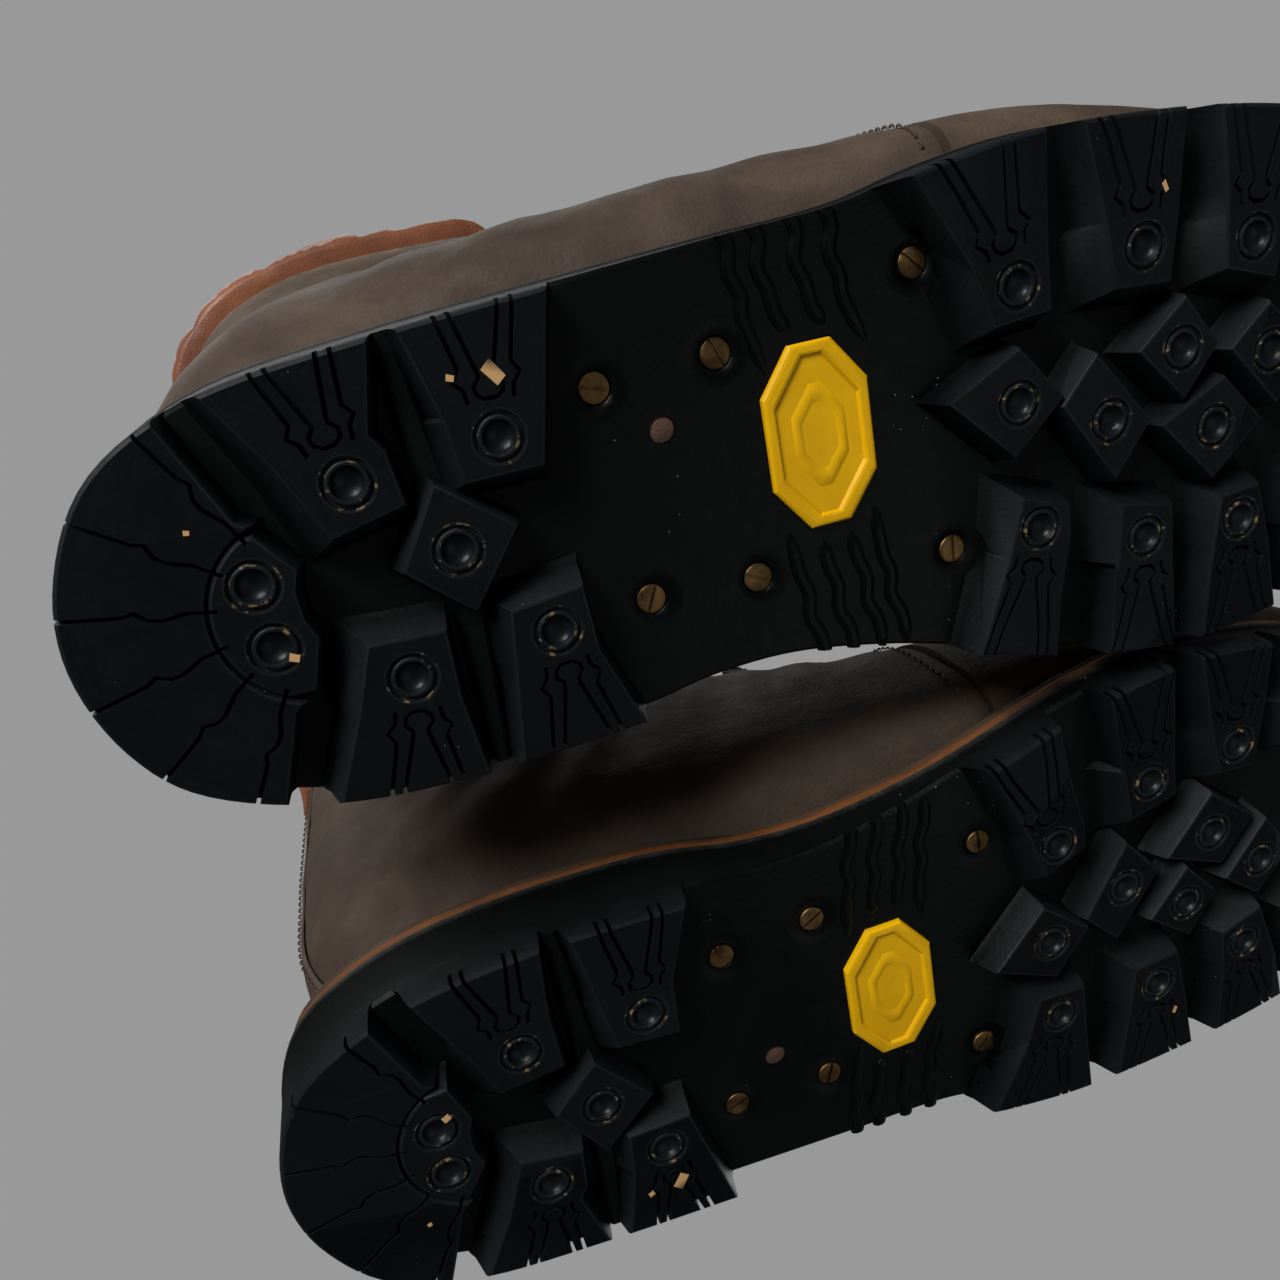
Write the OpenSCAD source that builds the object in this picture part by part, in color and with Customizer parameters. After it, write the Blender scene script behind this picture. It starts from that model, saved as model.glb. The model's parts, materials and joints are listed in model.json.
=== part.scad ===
// A pair of full-leather mountaineering boots, standing side by side on their treads.
// One boot is designed in its own frame (x from the heel's back edge to the toe, y towards the other
// boot, z up from the tread) and used twice: as it is for the right boot, mirrored for the left one.

/* [Sole] */
// Length of the outsole
sole_length = 315; // [300:1:325]
// Depth of the lugs below the sole's base
lug_depth = 7.5; // [6:0.5:8]
// Sole thickness under the heel, lugs included
heel_stack = 24; // [22:0.5:26]
// Sole thickness under the ball of the foot, lugs included
ball_stack = 14; // [13:0.5:16]
// Radius of the curve that lifts the toe off the ground
spring_radius = 260; // [230:5:400]
// Thickness of the leather midsole
midsole_t = 3; // [2.5:0.5:4]
// Thickness of the welt and of the cork inside it
welt_t = 2.5; // [2:0.5:3]
// Width of the welt strip
welt_w = 10; // [8:0.5:12]
// Thickness of the steel shank
shank_t = 1.2; // [1:0.1:1.5]

/* [Pair] */
// Distance between the two boots' long axes
pair_spacing = 118; // [118:1:160]

/* [Upper] */
// Thickness of the upper's leather
leather_t = 2.4; // [2:0.1:2.4]
// Thickness of the toe puff and the heel counter
stiffener_t = 1.1; // [0.8:0.1:1.1]
// Thickness of the lining
lining_t = 1.2; // [1:0.1:1.4]
// Height of the padded collar
collar_h = 20; // [16:1:22]
// Thickness of the padded collar
collar_t = 14; // [12:1:15]

/* [Lacing] */
// Radius of the lace
lace_r = 1.5; // [1.2:0.1:1.5]
// Wire radius of the lace rings
wire_r = 1; // [0.9:0.1:1.1]
// Radius of a lace ring's bow
ring_r = 8; // [8:0.5:9]
// Clearance between a ring's wire and the bore of its clip
bore_gap = 0.08; // [0.04:0.01:0.1]

/* [Hidden] */
$fn = 32;
far = 400;             // longer than anything it cuts
kx = sole_length / 315;
fit_gap = 0.1;         // between pieces that touch
spring_x = 245 * kx;   // where the toe starts to lift
breast_x = 90 * kx;    // where the heel stack ends
ball_x = 165 * kx;     // where the sole reaches its forefoot thickness
welt_top = midsole_t + welt_t;

// ---- points and curves ----
function unit(v) = v / norm(v);
function spline(a, b, c, d, t) =
    0.5 * (2 * b + (c - a) * t + (2 * a - 5 * b + 4 * c - d) * t * t + (3 * b - a - 3 * c + d) * t * t * t);
function along(rows, u) =
    let (n = len(rows) - 1, i = min(floor(u), n - 1))
    spline(rows[max(i - 1, 0)], rows[i], rows[i + 1], rows[min(i + 2, n)], u - i);
function smooth_loop(p, steps) =
    let (n = len(p))
    [for (i = [0:n - 1]) for (s = [0:steps - 1])
        spline(p[(i + n - 1) % n], p[i], p[(i + 1) % n], p[(i + 2) % n], s / steps)];
function smooth_path(p, steps) =
    [for (i = [0:(len(p) - 1) * steps]) along(p, i / steps)];
// A loop moved inwards by d along its own normals
function inset(p, d) =
    let (n = len(p))
    [for (i = [0:n - 1]) let (t = unit(p[(i + 1) % n] - p[(i + n - 1) % n])) p[i] + d * [-t[1], t[0]]];

// ---- side profile of the sole ----
function spring(x) =
    x <= spring_x ? 0 : spring_radius - sqrt(pow(spring_radius, 2) - pow(x - spring_x, 2));
function stack(x) =
    x <= breast_x ? heel_stack : x >= ball_x ? ball_stack
    : heel_stack + (ball_stack - heel_stack) * (x - breast_x) / (ball_x - breast_x);
// A height: k = 0 measures from the ground line, k = 1 from the sole's top
function level(x, k, dz) = spring(x) + k * stack(x) + dz;
stations = [-5, breast_x, ball_x, for (s = [0:5]) spring_x + s * (sole_length + 4 - spring_x) / 5];

// ---- outline of the sole, heel first, then the outer edge to the toe and the inner edge back ----
heel_half = [[0, -1], [3.5, -17], [14, -31.5], [33, -40], [62, -43.5], [95, -45.7]];
outer_half = [[125, -47.5], [150, -48.8], [168, -52.3], [190, -54.6], [221, -53.4], [248, -49.5]];
toe_part = [[272, -43], [291, -33], [305, -19.5], [313, -6], [314.8, 4], [311, 14], [301, 25.5],
    [286, 37.5], [266, 48]];
inner_half = [[245, 54], [223, 56.6], [198, 53.5], [170, 45.5], [150, 39.6], [130, 35.6], [112, 35.4],
    [95, 37.6], [62, 38.5], [35, 35.8], [14, 27.4], [4, 15.5]];
outline = concat(heel_half, outer_half, toe_part, inner_half);
sole_loop = smooth_loop([for (p = outline) [p[0] * kx, p[1]]], 3);
toe_x = max([for (p = sole_loop) p[0]]);
heel_x = min([for (p = sole_loop) p[0]]);

// The slice of the side profile between two heights
module band(k0, dz0, k1, dz1) {
    rotate([90, 0, 0])
        linear_extrude(far, center = true)
            polygon(concat(
                [for (x = stations) [x, level(x, k0, dz0)]],
                [for (i = [len(stations) - 1:-1:0]) [stations[i], level(stations[i], k1, dz1)]]));
}

// A loop extruded and trimmed to that slice
module layer(loop, k0, dz0, k1, dz1) {
    intersection() {
        translate([0, 0, -1]) linear_extrude(80) polygon(loop);
        band(k0, dz0, k1, dz1);
    }
}

// ---- tread ----
rear_c = [40.5, -1.5];      // centre of the heel's round groove
rear_r = 17;
toe_c = [272, 1];           // centre of the toe's round groove
toe_r = 17;
groove_w = 3;
// Each lug: its loop, which may pass the sole's edge, and its dimple's centre
outer_lugs = [
    [[[29, -60], [33, -40], [41, -26], [47, -12], [61, -15], [60, -25], [58, -28], [62, -43.5], [63, -60]],
        [52.3, -21]],
    [[[66, -60], [66, -44], [70, -28], [71, -16], [86, -16], [93, -46], [94, -60]], [79.1, -22.8]],
    [[[157, -60], [161, -52], [172, -33], [176, -21], [189, -22], [189, -34], [190, -60]], [181.7, -28.1]],
    [[[196, -60], [201, -36], [203, -23], [216, -22], [218, -34], [221, -60]], [210, -30]],
    [[[227, -60], [229, -37], [229, -22], [241, -18], [246, -34], [250, -60]], [236, -27]],
    [[[257, -60], [254, -40], [251, -24], [262, -19], [268, -30], [279, -58]], [259.5, -30]]];
inner_lugs = [
    [[[34, 60], [35, 35.5], [43, 18.5], [47.5, 7.2], [62, 8.3], [61.6, 22], [63, 38], [63, 60]],
        [53.8, 15.5]],
    [[[69, 60], [69, 38.5], [71, 25], [73.5, 8], [88, 6.7], [88.7, 20], [95, 38], [98, 60]], [81.4, 14.2]],
    [[[160, 60], [168, 44.4], [176, 25], [180, 13], [191, 17], [191, 24], [188, 37], [185, 60]],
        [183.7, 20.5]],
    [[[198, 64], [201.5, 34], [203, 20], [216, 23], [216, 37], [216.5, 64]], [208.9, 28.9]],
    [[[222, 66], [225, 40], [228, 24.5], [238, 24], [241, 38], [244, 62]], [233, 31]],
    [[[250, 62], [249, 40], [249, 26], [260, 24], [266, 34], [274, 56]], [256, 32]]];
middle_lugs = [
    [[[66, -18], [79, -7], [72, 3], [68, 7], [57, -3.5], [62, -8]], [67.4, -2.7]],
    [[[181.5, -16.6], [191, -5], [179, 5], [165, -9]], [180.5, -5.9]],
    [[[198.6, -12], [211, 4], [202, 15], [190, -3]], [201.2, 2.2]],
    [[[219.6, -19], [227.5, -8], [219, 2], [208, -10]], [218.6, -8.7]],
    [[[229, -1], [238.5, 10], [226, 20.5], [213, 6]], [226.3, 9]],
    [[[240, -14], [250, -3], [242, 8], [230, -6]], [240.5, -3.8]]];
pad_dimples = [[32.6, -7.9], [32.8, 3.6], [279.6, -5], [279.6, 6.6]];
dimple_r = 4.2;
sipe_w = 1;
sipe_depth = 3.5;
radial_sipes = 6;
screws = [[98.9, -26.2], [122.8, -27.4], [164.6, -35.7], [101.9, 15.8], [124.4, 17.4], [167.8, 22.7]];
screw_r = 1.6;
head_r = 2.8;
head_t = 1.2;
badge_c = [141, -8];
badge_l = 36;      // across the sole
badge_w = 22;      // along the sole
badge_cut = 8.8;   // corner cut along its length
badge_cut_w = 6.7; // corner cut along its width
badge_t = 2.4;
badge_sink = 1;

function stretch(p) = [p[0] * kx, p[1]];

module lug(loop) {
    translate([0, 0, -1]) linear_extrude(60) polygon([for (p = loop) stretch(p)]);
}

module at_tread(c) {
    x = c[0] * kx;
    slope = x <= spring_x ? 0 : asin((x - spring_x) / spring_radius);
    translate([x, c[1], spring(x)]) rotate([0, -slope, 0]) children();
}

// The round pad inside the heel's or the toe's groove: the part of a disc beyond a straight edge
module round_pad(c, r, flip) {
    translate([c[0] * kx, c[1], -1])
        intersection() {
            cylinder(r = r, h = 60);
            translate([flip ? 0 : -r, -r, 0]) cube([r, 2 * r, 60]);
        }
}

// The heel's or the toe's segmented rim
module rim(c, r, flip) {
    difference() {
        translate([flip ? (c[0] + 6) * kx : -5, -70, -1]) cube([flip ? 60 : (c[0] - 9) * kx + 5, 140, 60]);
        translate([c[0] * kx, c[1], -2]) cylinder(r = r, h = 64);
    }
}

// A ring groove round a bowl
module dimple_cut() {
    rotate_extrude() polygon([[0, -2], [dimple_r + 0.5, -2], [dimple_r + 0.5, 0], [dimple_r, 0.9],
        [dimple_r - 0.6, 0.05], [dimple_r / 2, 1.6], [0, 1.9]]);
}

module slot(p, q, w, depth) {
    d = q - p;
    translate([p[0], p[1], -2]) rotate([0, 0, atan2(d[1], d[0])])
        translate([0, -w / 2, 0]) cube([norm(d), w, depth + 2]);
}

module sipes() {
    for (lug = concat(outer_lugs, inner_lugs)) {
        c = stretch(lug[1]);
        edge = lug[1][1] < 0 ? -70 : 70;
        lean = (stretch(lug[0][0])[0] + stretch(lug[0][len(lug[0]) - 1])[0]) / 2;
        for (s = [-1, 1])
            translate([0, 0, spring(c[0])])
                slot([lean + s * 6, edge], [c[0] + s * 3, c[1] + sign(edge) * 6.5], sipe_w, sipe_depth);
    }
    for (i = [0:radial_sipes - 1]) {
        t = -62 + i * 124 / (radial_sipes - 1);
        slot(stretch(rear_c) - (rear_r + 1) * [cos(t), sin(t)], stretch(rear_c) - 60 * [cos(t), sin(t)],
            sipe_w, sipe_depth);
        slot(stretch(toe_c) + (toe_r + 1) * [cos(t), sin(t)], stretch(toe_c) + 60 * [cos(t), sin(t)],
            sipe_w, sipe_depth + spring(sole_length) / 2);
    }
}

module ribs() {
    rib_w = 1.8;
    rib_h = 2;
    for (i = [0:3]) {
        x = 130 + 7 * i;
        outer = [[x, -52], [x + 3, -40], [x - 1, -32], [x + 2, [-18, -29, -28, -19][i]]];
        inner = [[x + 1, 46], [x + 3, 32], [x - 1, 24], [x, [7, 13.5, 13.4, 11.7][i]]];
        for (path = [outer, inner]) for (s = [0:2])
            translate([0, 0, lug_depth - rib_h + 2])
                slot(stretch(path[s]), stretch(path[s + 1]), rib_w, rib_h);
    }
}

module badge_loop(grow) {
    a = badge_w / 2 + grow;
    b = badge_l / 2 + grow;
    polygon([[-a, -b + badge_cut], [-a + badge_cut_w, -b], [a - badge_cut_w, -b], [a, -b + badge_cut],
        [a, b - badge_cut], [a - badge_cut_w, b], [-a + badge_cut_w, b], [-a, b - badge_cut]]);
}

module at_badge() {
    translate([badge_c[0] * kx, badge_c[1], lug_depth]) children();
}

// Holes through every sole layer, with a seat for each head
module screw_holes(with_seat) {
    for (s = screws) {
        translate([s[0] * kx, s[1], lug_depth - 2]) cylinder(r = screw_r + fit_gap, h = 60);
        if (with_seat)
            translate([s[0] * kx, s[1], lug_depth - 2]) cylinder(r = head_r + fit_gap, h = 2 + head_t);
    }
}

module outsole() {
    color([0.09, 0.1, 0.11])
    difference() {
        union() {
            layer(sole_loop, 0, lug_depth, 1, 0);
            intersection() {
                union() {
                    for (l = concat(outer_lugs, inner_lugs, middle_lugs)) lug(l[0]);
                    round_pad(rear_c, rear_r - groove_w, false);
                    round_pad(toe_c, toe_r - groove_w, true);
                    rim(rear_c, rear_r, false);
                    rim(toe_c, toe_r, true);
                }
                layer(sole_loop, 0, 0, 0, lug_depth + 1);
            }
            intersection() {
                ribs();
                layer(sole_loop, 0, 0, 0, lug_depth + 1);
            }
        }
        sipes();
        for (l = concat(outer_lugs, inner_lugs, middle_lugs)) at_tread(l[1]) dimple_cut();
        for (c = pad_dimples) at_tread(c) dimple_cut();
        screw_holes(true);
        at_badge() translate([0, 0, -3]) linear_extrude(3 + badge_sink) badge_loop(fit_gap);
    }
}

module sole_badge() {
    color([0.74, 0.54, 0.03])
    at_badge() difference() {
        translate([0, 0, badge_sink - badge_t]) linear_extrude(badge_t) badge_loop(0);
        translate([0, 0, badge_sink - badge_t - 1]) linear_extrude(1.8) badge_loop(-2);
    }
}

module sole_screws() {
    slot_w = 0.9;
    color([0.62, 0.42, 0.2])
    for (s = screws) translate([s[0] * kx, s[1], lug_depth])
        difference() {
            union() {
                cylinder(r = head_r, h = head_t);
                cylinder(r = screw_r, h = stack(s[0] * kx) - lug_depth + midsole_t - 1);
            }
            translate([-head_r - 1, -slot_w / 2, -1]) cube([2 * head_r + 2, slot_w, 1.6]);
        }
}

module midsole() {
    color([0.36, 0.2, 0.1])
    difference() {
        layer(inset(sole_loop, 0.6), 1, 0, 1, midsole_t);
        screw_holes(false);
    }
}

module welt() {
    color([0.3, 0.19, 0.12])
    difference() {
        layer(inset(sole_loop, 1), 1, midsole_t, 1, welt_top);
        translate([0, 0, -2]) linear_extrude(90) polygon(inset(sole_loop, 1 + welt_w));
    }
}

module welt_stitching() {
    line = inset(sole_loop, 4);
    stitch_w = 1;
    stitch_h = 0.5;
    color([0.82, 0.76, 0.62])
    for (i = [0:len(line) - 1]) {
        p = line[i];
        q = line[(i + 1) % len(line)];
        c = (p + q) / 2;
        l = norm(q - p) * 0.6;
        rise = asin((level(q[0], 1, 0) - level(p[0], 1, 0)) / norm(q - p));
        translate([c[0], c[1], level(c[0], 1, welt_top + 0.25)])
            rotate([0, -rise, atan2(q[1] - p[1], q[0] - p[0])])
                translate([-l / 2, -stitch_w / 2, 0]) cube([l, stitch_w, stitch_h]);
    }
}

module shank_shape(grow) {
    translate([42 * kx - grow, -11 - grow, 0]) cube([150 * kx + 2 * grow, 22 + 2 * grow, 60]);
}

module cork_filler() {
    color([0.55, 0.38, 0.22])
    difference() {
        layer(inset(sole_loop, 1.2 + welt_w), 1, midsole_t, 1, welt_top);
        intersection() {
            shank_shape(0.4);
            band(1, midsole_t - 1, 1, midsole_t + shank_t + 0.2);
        }
        screw_holes(false);
    }
}

module shank() {
    color([0.5, 0.51, 0.53])
    intersection() {
        shank_shape(0);
        band(1, midsole_t, 1, midsole_t + shank_t);
    }
}

// ---- the last: a run of closed sections from the toe tip to the top of the shaft ----
// Each section spans from its top point to its bottom (later: back) point in the side view.
upper_gap = 0.8;      // between the welt and the upper
function seat_z(x) = level(x * kx, 1, welt_top + upper_gap);
// top x, top z, bottom x, bottom z, outer half width, inner half width, share of the way where it is
// widest, roundness below that place, roundness above it
sections = [for (r = [
    [308, 38, 308, 0, 10, 10, 0.45, 0.42, 0.7],
    [303, 52, 303, 0, 25, 23, 0.4, 0.4, 0.75],
    [291, 62, 291, 0, 36.5, 36, 0.38, 0.4, 0.8],
    [271, 68, 271, 0, 46.5, 46, 0.36, 0.38, 0.85],
    [247, 73, 247, 0, 53, 52, 0.36, 0.38, 0.9],
    [222, 79, 222, 0, 58, 54, 0.36, 0.38, 0.95],
    [198, 90, 198, 0, 61, 53.5, 0.36, 0.38, 0.95],
    [176, 104, 172, 0, 61, 51, 0.38, 0.38, 0.95],
    [156, 119, 130, 0, 60, 48, 0.42, 0.4, 0.9],
    [140, 132, 90, 0, 58.5, 46, 0.47, 0.42, 0.84],
    [128, 143, 60, 0, 56.5, 45, 0.55, 0.5, 0.78],
    [121, 151, 22, 33, 54, 44, 0.61, 0.58, 0.74],
    [118, 156, 8, 56, 52.5, 44, 0.66, 0.7, 0.7],
    [117, 161, 6, 90, 52.5, 45, 0.7, 0.72, 0.68],
    [116, 166, 7, 125, 55, 46, 0.75, 0.68, 0.65],
    [116, 171, 9, 160, 60.5, 47, 0.8, 0.6, 0.62],
    [117, 188, 8, 180, 60.5, 47, 0.8, 0.6, 0.62]])
    [r[0] * kx, r[1], r[2] * kx, r[3] == 0 ? seat_z(r[2]) : r[3], r[4], r[5], r[6], r[7], r[8]]];
throat_u = 6.6;
top_u = 15;
// A point of the last: section u, angle a from the bottom round the outer side, depth d below the
// leather's face
function skin(u, a, d) =
    let (r = along(sections, u), t = [r[0], r[1]], b = [r[2], r[3]], dir = unit(b - t),
        t2 = t + d * dir, b2 = b - d * dir, c = cos(a), s = sin(a), e = c > 0 ? r[7] : r[8],
        f = c > 0 ? r[6] * (1 - pow(c, e)) : r[6] + (1 - r[6]) * pow(-c, e),
        w = (s > 0 ? r[4] : r[5]) - d, p = b2 + (t2 - b2) * f)
    [p[0], -sign(s) * w * pow(abs(s), e), p[1]];
// Half width of the throat between the facings, and the angle at which a line that far out lies
function throat(u) = 17 + 8 * (u - throat_u) / (top_u - throat_u);
function angle_at(u, half, outer) =
    let (r = along(sections, u)) 180 - asin(pow(half / (outer ? r[4] : r[5]), 1 / r[8]));
facing = function(u, v) v * angle_at(u, throat(u), v > 0);
full = function(u, v) v * 180;

// A sheet of the last between two depths
module sheet(us, vs, d0, d1, angle) {
    n = len(us);
    m = len(vs);
    function face(u, v, d) = skin(u, angle(u, v), d);
    points = concat([for (u = us) for (v = vs) face(u, v, d0)], [for (u = us) for (v = vs) face(u, v, d1)]);
    function quad(a, b, c, d) = [[a, c, b], [a, d, c]];
    function id(k, i, j) = (k * n + i) * m + j;
    skins = [for (i = [0:n - 2]) for (j = [0:m - 2]) for (f = concat(
        quad(id(0, i, j), id(0, i, j + 1), id(0, i + 1, j + 1), id(0, i + 1, j)),
        quad(id(1, i, j), id(1, i + 1, j), id(1, i + 1, j + 1), id(1, i, j + 1)))) f];
    sides = [for (i = [0:n - 2]) for (f = concat(
        quad(id(0, i, 0), id(0, i + 1, 0), id(1, i + 1, 0), id(1, i, 0)),
        quad(id(0, i, m - 1), id(1, i, m - 1), id(1, i + 1, m - 1), id(0, i + 1, m - 1)))) f];
    ends = [for (j = [0:m - 2]) for (f = concat(
        quad(id(0, 0, j), id(1, 0, j), id(1, 0, j + 1), id(0, 0, j + 1)),
        quad(id(0, n - 1, j), id(0, n - 1, j + 1), id(1, n - 1, j + 1), id(1, n - 1, j)))) f];
    polyhedron(points, concat(skins, sides, ends));
}

// A closed cup of the last from the toe tip back to the throat
module cup(us, d0, d1) {
    m = 24;
    function start(d) = d / 5;
    function trim(d) = concat([start(d)], [for (u = us) if (u > start(d) + 0.2) u]);
    out = trim(d0);
    inn = trim(d1);
    no = len(out);
    ni = len(inn);
    points = concat([for (u = out) for (j = [0:m - 1]) skin(u, j * 360 / m, d0)],
        [for (u = inn) for (j = [0:m - 1]) skin(u, j * 360 / m, d1)]);
    function quad(a, b, c, d) = [[a, c, b], [a, d, c]];
    function id(base, i, j) = base + i * m + j % m;
    nb = no * m;
    outside = [for (i = [0:no - 2]) for (j = [0:m - 1]) for (f = quad(
        id(0, i, j), id(0, i, j + 1), id(0, i + 1, j + 1), id(0, i + 1, j))) f];
    inside = [for (i = [0:ni - 2]) for (j = [0:m - 1]) for (f = quad(
        id(nb, i, j), id(nb, i + 1, j), id(nb, i + 1, j + 1), id(nb, i, j + 1))) f];
    rim_faces = [for (j = [0:m - 1]) for (f = quad(
        id(0, no - 1, j), id(0, no - 1, j + 1), id(nb, ni - 1, j + 1), id(nb, ni - 1, j))) f];
    caps = concat([for (j = [1:m - 2]) [0, j, j + 1]], [for (j = [1:m - 2]) [nb, nb + j + 1, nb + j]]);
    polyhedron(points, concat(outside, inside, rim_faces, caps));
}

vamp_us = [0.5, 1, 1.6, 2.3, 3, 4, 5, 5.9, throat_u - 0.03];
quarter_us = [throat_u + 0.03, 7.3, 8, 9, 10, 10.5, 11, 11.4, 12, 13, 14, top_u];
quarter_vs = [for (j = [-12:12]) j / 12];
puff_d = leather_t + fit_gap;
lining_d = puff_d + stiffener_t + fit_gap;
inside_d = lining_d + lining_t;

module vamp() {
    color([0.3, 0.24, 0.21]) cup(vamp_us, 0, leather_t);
}

module quarters() {
    color([0.32, 0.26, 0.23]) sheet(quarter_us, quarter_vs, 0, leather_t, facing);
}

module backstay() {
    color([0.27, 0.2, 0.17])
    sheet([11.4, 12, 13, 14, top_u], [for (j = [-1:1]) j / 12], -1.5, -fit_gap, facing);
}

module toe_puff() {
    color([0.7, 0.62, 0.5])
    sheet([1, 1.6, 2.3, 3], [for (j = [4:20]) j / 12], puff_d, puff_d + stiffener_t, full);
}

module heel_counter() {
    color([0.66, 0.58, 0.46])
    sheet([10.5, 11, 11.4, 12, 13], [for (j = [-6:6]) j / 12], puff_d, puff_d + stiffener_t, facing);
}

module vamp_lining() {
    color([0.78, 0.7, 0.58]) cup(vamp_us, lining_d, inside_d);
}

module quarter_lining() {
    color([0.76, 0.66, 0.52]) sheet(quarter_us, quarter_vs, lining_d, inside_d, facing);
}

// The board and the footbed follow the sole's outline, drawn in to fit inside the lining
board_mid = sole_length / 2;
board_share = [0.87, 0.95];
function board_loop(d) =
    [for (p = inset(sole_loop, 14 + d))
        [board_mid + (p[0] - board_mid) * board_share[0], p[1] * board_share[1]]];
board_z = welt_top + upper_gap + inside_d + 1.7;
board_t = 2.2;
footbed_t = 4;

module insole_board() {
    color([0.6, 0.45, 0.3]) layer(board_loop(0), 1, board_z, 1, board_z + board_t);
}

module footbed() {
    color([0.35, 0.33, 0.32])
    layer(board_loop(1), 1, board_z + board_t + fit_gap, 1, board_z + board_t + footbed_t);
}

// ---- collar: a padded roll round the top of the shaft, leather over foam ----
collar_reach = 0.985;                  // share of the leather's top edge under the roll
collar_vs = [for (j = [-9:9]) j / 9 * collar_reach];
// A closed section in (outwards, up) carried round the shaft's top edge
module roll(section) {
    n = len(collar_vs);
    m = len(section);
    function base(v) = skin(top_u, facing(top_u, v), 0);
    function out(v) = let (t = base(v + 0.02) - base(v - 0.02)) unit([-t[1], t[0], 0]);
    points = [for (v = collar_vs) let (b = base(v), o = out(v))
        for (q = section) b + q[0] * o + [0, 0, q[1]]];
    function id(i, j) = i * m + j % m;
    sides = [for (i = [0:n - 2]) for (j = [0:m - 1]) for (f =
        [[id(i, j), id(i + 1, j + 1), id(i + 1, j)], [id(i, j), id(i, j + 1), id(i + 1, j + 1)]]) f];
    polyhedron(points, concat(sides, [[for (j = [m - 1:-1:0]) j]], [[for (j = [0:m - 1]) (n - 1) * m + j]]));
}

collar_skin = 1.4;
collar_in = -inside_d;                 // the roll's inner face lies in line with the lining
collar_mid = collar_in + collar_t / 2;
// Points of the roll's rounded outline at depth d, from the inner foot over the top to the outer foot
function hoop(d) =
    [for (s = [0:6]) let (a = 180 - s * 30)
        [collar_mid + (collar_t / 2 - d) * cos(a), 1 + (collar_h - 1 - d) * pow(sin(a), 0.7)]];
module collar() {
    outer = hoop(0);
    inner = hoop(collar_skin);
    color([0.5, 0.32, 0.2])
    roll(concat(outer, [for (i = [len(inner) - 1:-1:0]) inner[i]]));
}

module collar_foam() {
    color([0.85, 0.8, 0.66]) roll(hoop(collar_skin + 0.2));
}

// ---- tongue ----
tongue_d = inside_d + 0.9;
tongue_t = 3;
tongue_half = 30;

module tongue() {
    // narrower at its foot, and again where it stands between the collar's ends
    half = function(u) tongue_half - 8 * max(0, 7.6 - u) - 10 * max(0, min(1, u - 13));
    wide = function(u, v) 180 + v * (180 - angle_at(u, half(u), v < 0));
    color([0.33, 0.26, 0.22])
    sheet([6.8, 7.6, 8.5, 9.5, 10.5, 11.5, 13, 14, 15, 16], [for (j = [-4:4]) j / 4],
        tongue_d, tongue_d + tongue_t, wide);
}

// ---- lacing hardware ----
// Rows from the throat upwards: two of rings, then four of hooks
ring_rows = [7.15, 8.2];
hook_rows = [9.35, 10.45, 11.7, 14.1];
rim_gap = 8.5;       // from a facing's edge to its row of hardware
bar_z = 4.2;         // height of a ring's hinge above the leather
ring_tilt = 8;       // the lace holds each ring this far off the leather
clip_w = 9;
barrel_r = 2.3;
plate_t = 1;
plate_z = 0.8;

function hardware_angle(u, outer) = (outer ? 1 : -1) * angle_at(u, throat(u) + rim_gap, outer);
// The frame on the leather at a row: x to the throat, y up the facing, z out of the leather
function frame_at(u, outer) =
    let (a = hardware_angle(u, outer), s = outer ? 1 : -1, p = skin(u, a, 0),
        x0 = unit(skin(u, a + s * 2, 0) - skin(u, a - s * 2, 0)),
        y0 = unit(skin(u + 0.1, a, 0) - skin(u - 0.1, a, 0)),
        z = unit(cross(x0, y0)) * (outer ? 1 : -1), y = unit(y0 - (y0 * z) * z), x = cross(y, z))
    outer ? [x, y, z, p] : [-x, y, z, p];
function place(f, q) = f[3] + q[0] * f[0] + q[1] * f[1] + q[2] * f[2];

module on_leather(u, outer) {
    f = frame_at(u, outer);
    multmatrix([
        [f[0][0], f[1][0], f[2][0], f[3][0]],
        [f[0][1], f[1][1], f[2][1], f[3][1]],
        [f[0][2], f[1][2], f[2][2], f[3][2]],
        [0, 0, 0, 1]]) children();
}

module ring(u, outer) {
    color([0.66, 0.67, 0.68])
    on_leather(u, outer) translate([0, 0, bar_z]) rotate([0, -ring_tilt, 0]) {
        rotate([90, 0, 0]) cylinder(r = wire_r, h = 2 * ring_r, center = true);
        rotate([0, 0, -90]) rotate_extrude(angle = 180) translate([ring_r, 0]) circle(r = wire_r);
        for (s = [-1, 1]) translate([0, s * ring_r, 0]) sphere(r = wire_r);
    }
}

module ring_lower_outer() { ring(ring_rows[0], true); }
module ring_lower_inner() { ring(ring_rows[0], false); }
module ring_upper_outer() { ring(ring_rows[1], true); }
module ring_upper_inner() { ring(ring_rows[1], false); }

module ring_clips() {
    tail = 11;
    color([0.6, 0.61, 0.62])
    for (u = ring_rows) for (outer = [true, false]) on_leather(u, outer)
        difference() {
            union() {
                translate([-tail, -clip_w / 2, plate_z]) cube([tail, clip_w, plate_t]);
                translate([-barrel_r, -clip_w / 2, plate_z]) cube([barrel_r, clip_w, bar_z - plate_z]);
                translate([0, 0, bar_z]) rotate([90, 0, 0])
                    cylinder(r = barrel_r, h = clip_w, center = true);
            }
            translate([0, 0, bar_z]) rotate([90, 0, 0])
                cylinder(r = wire_r + bore_gap, h = 2 * clip_w, center = true);
        }
}

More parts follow.
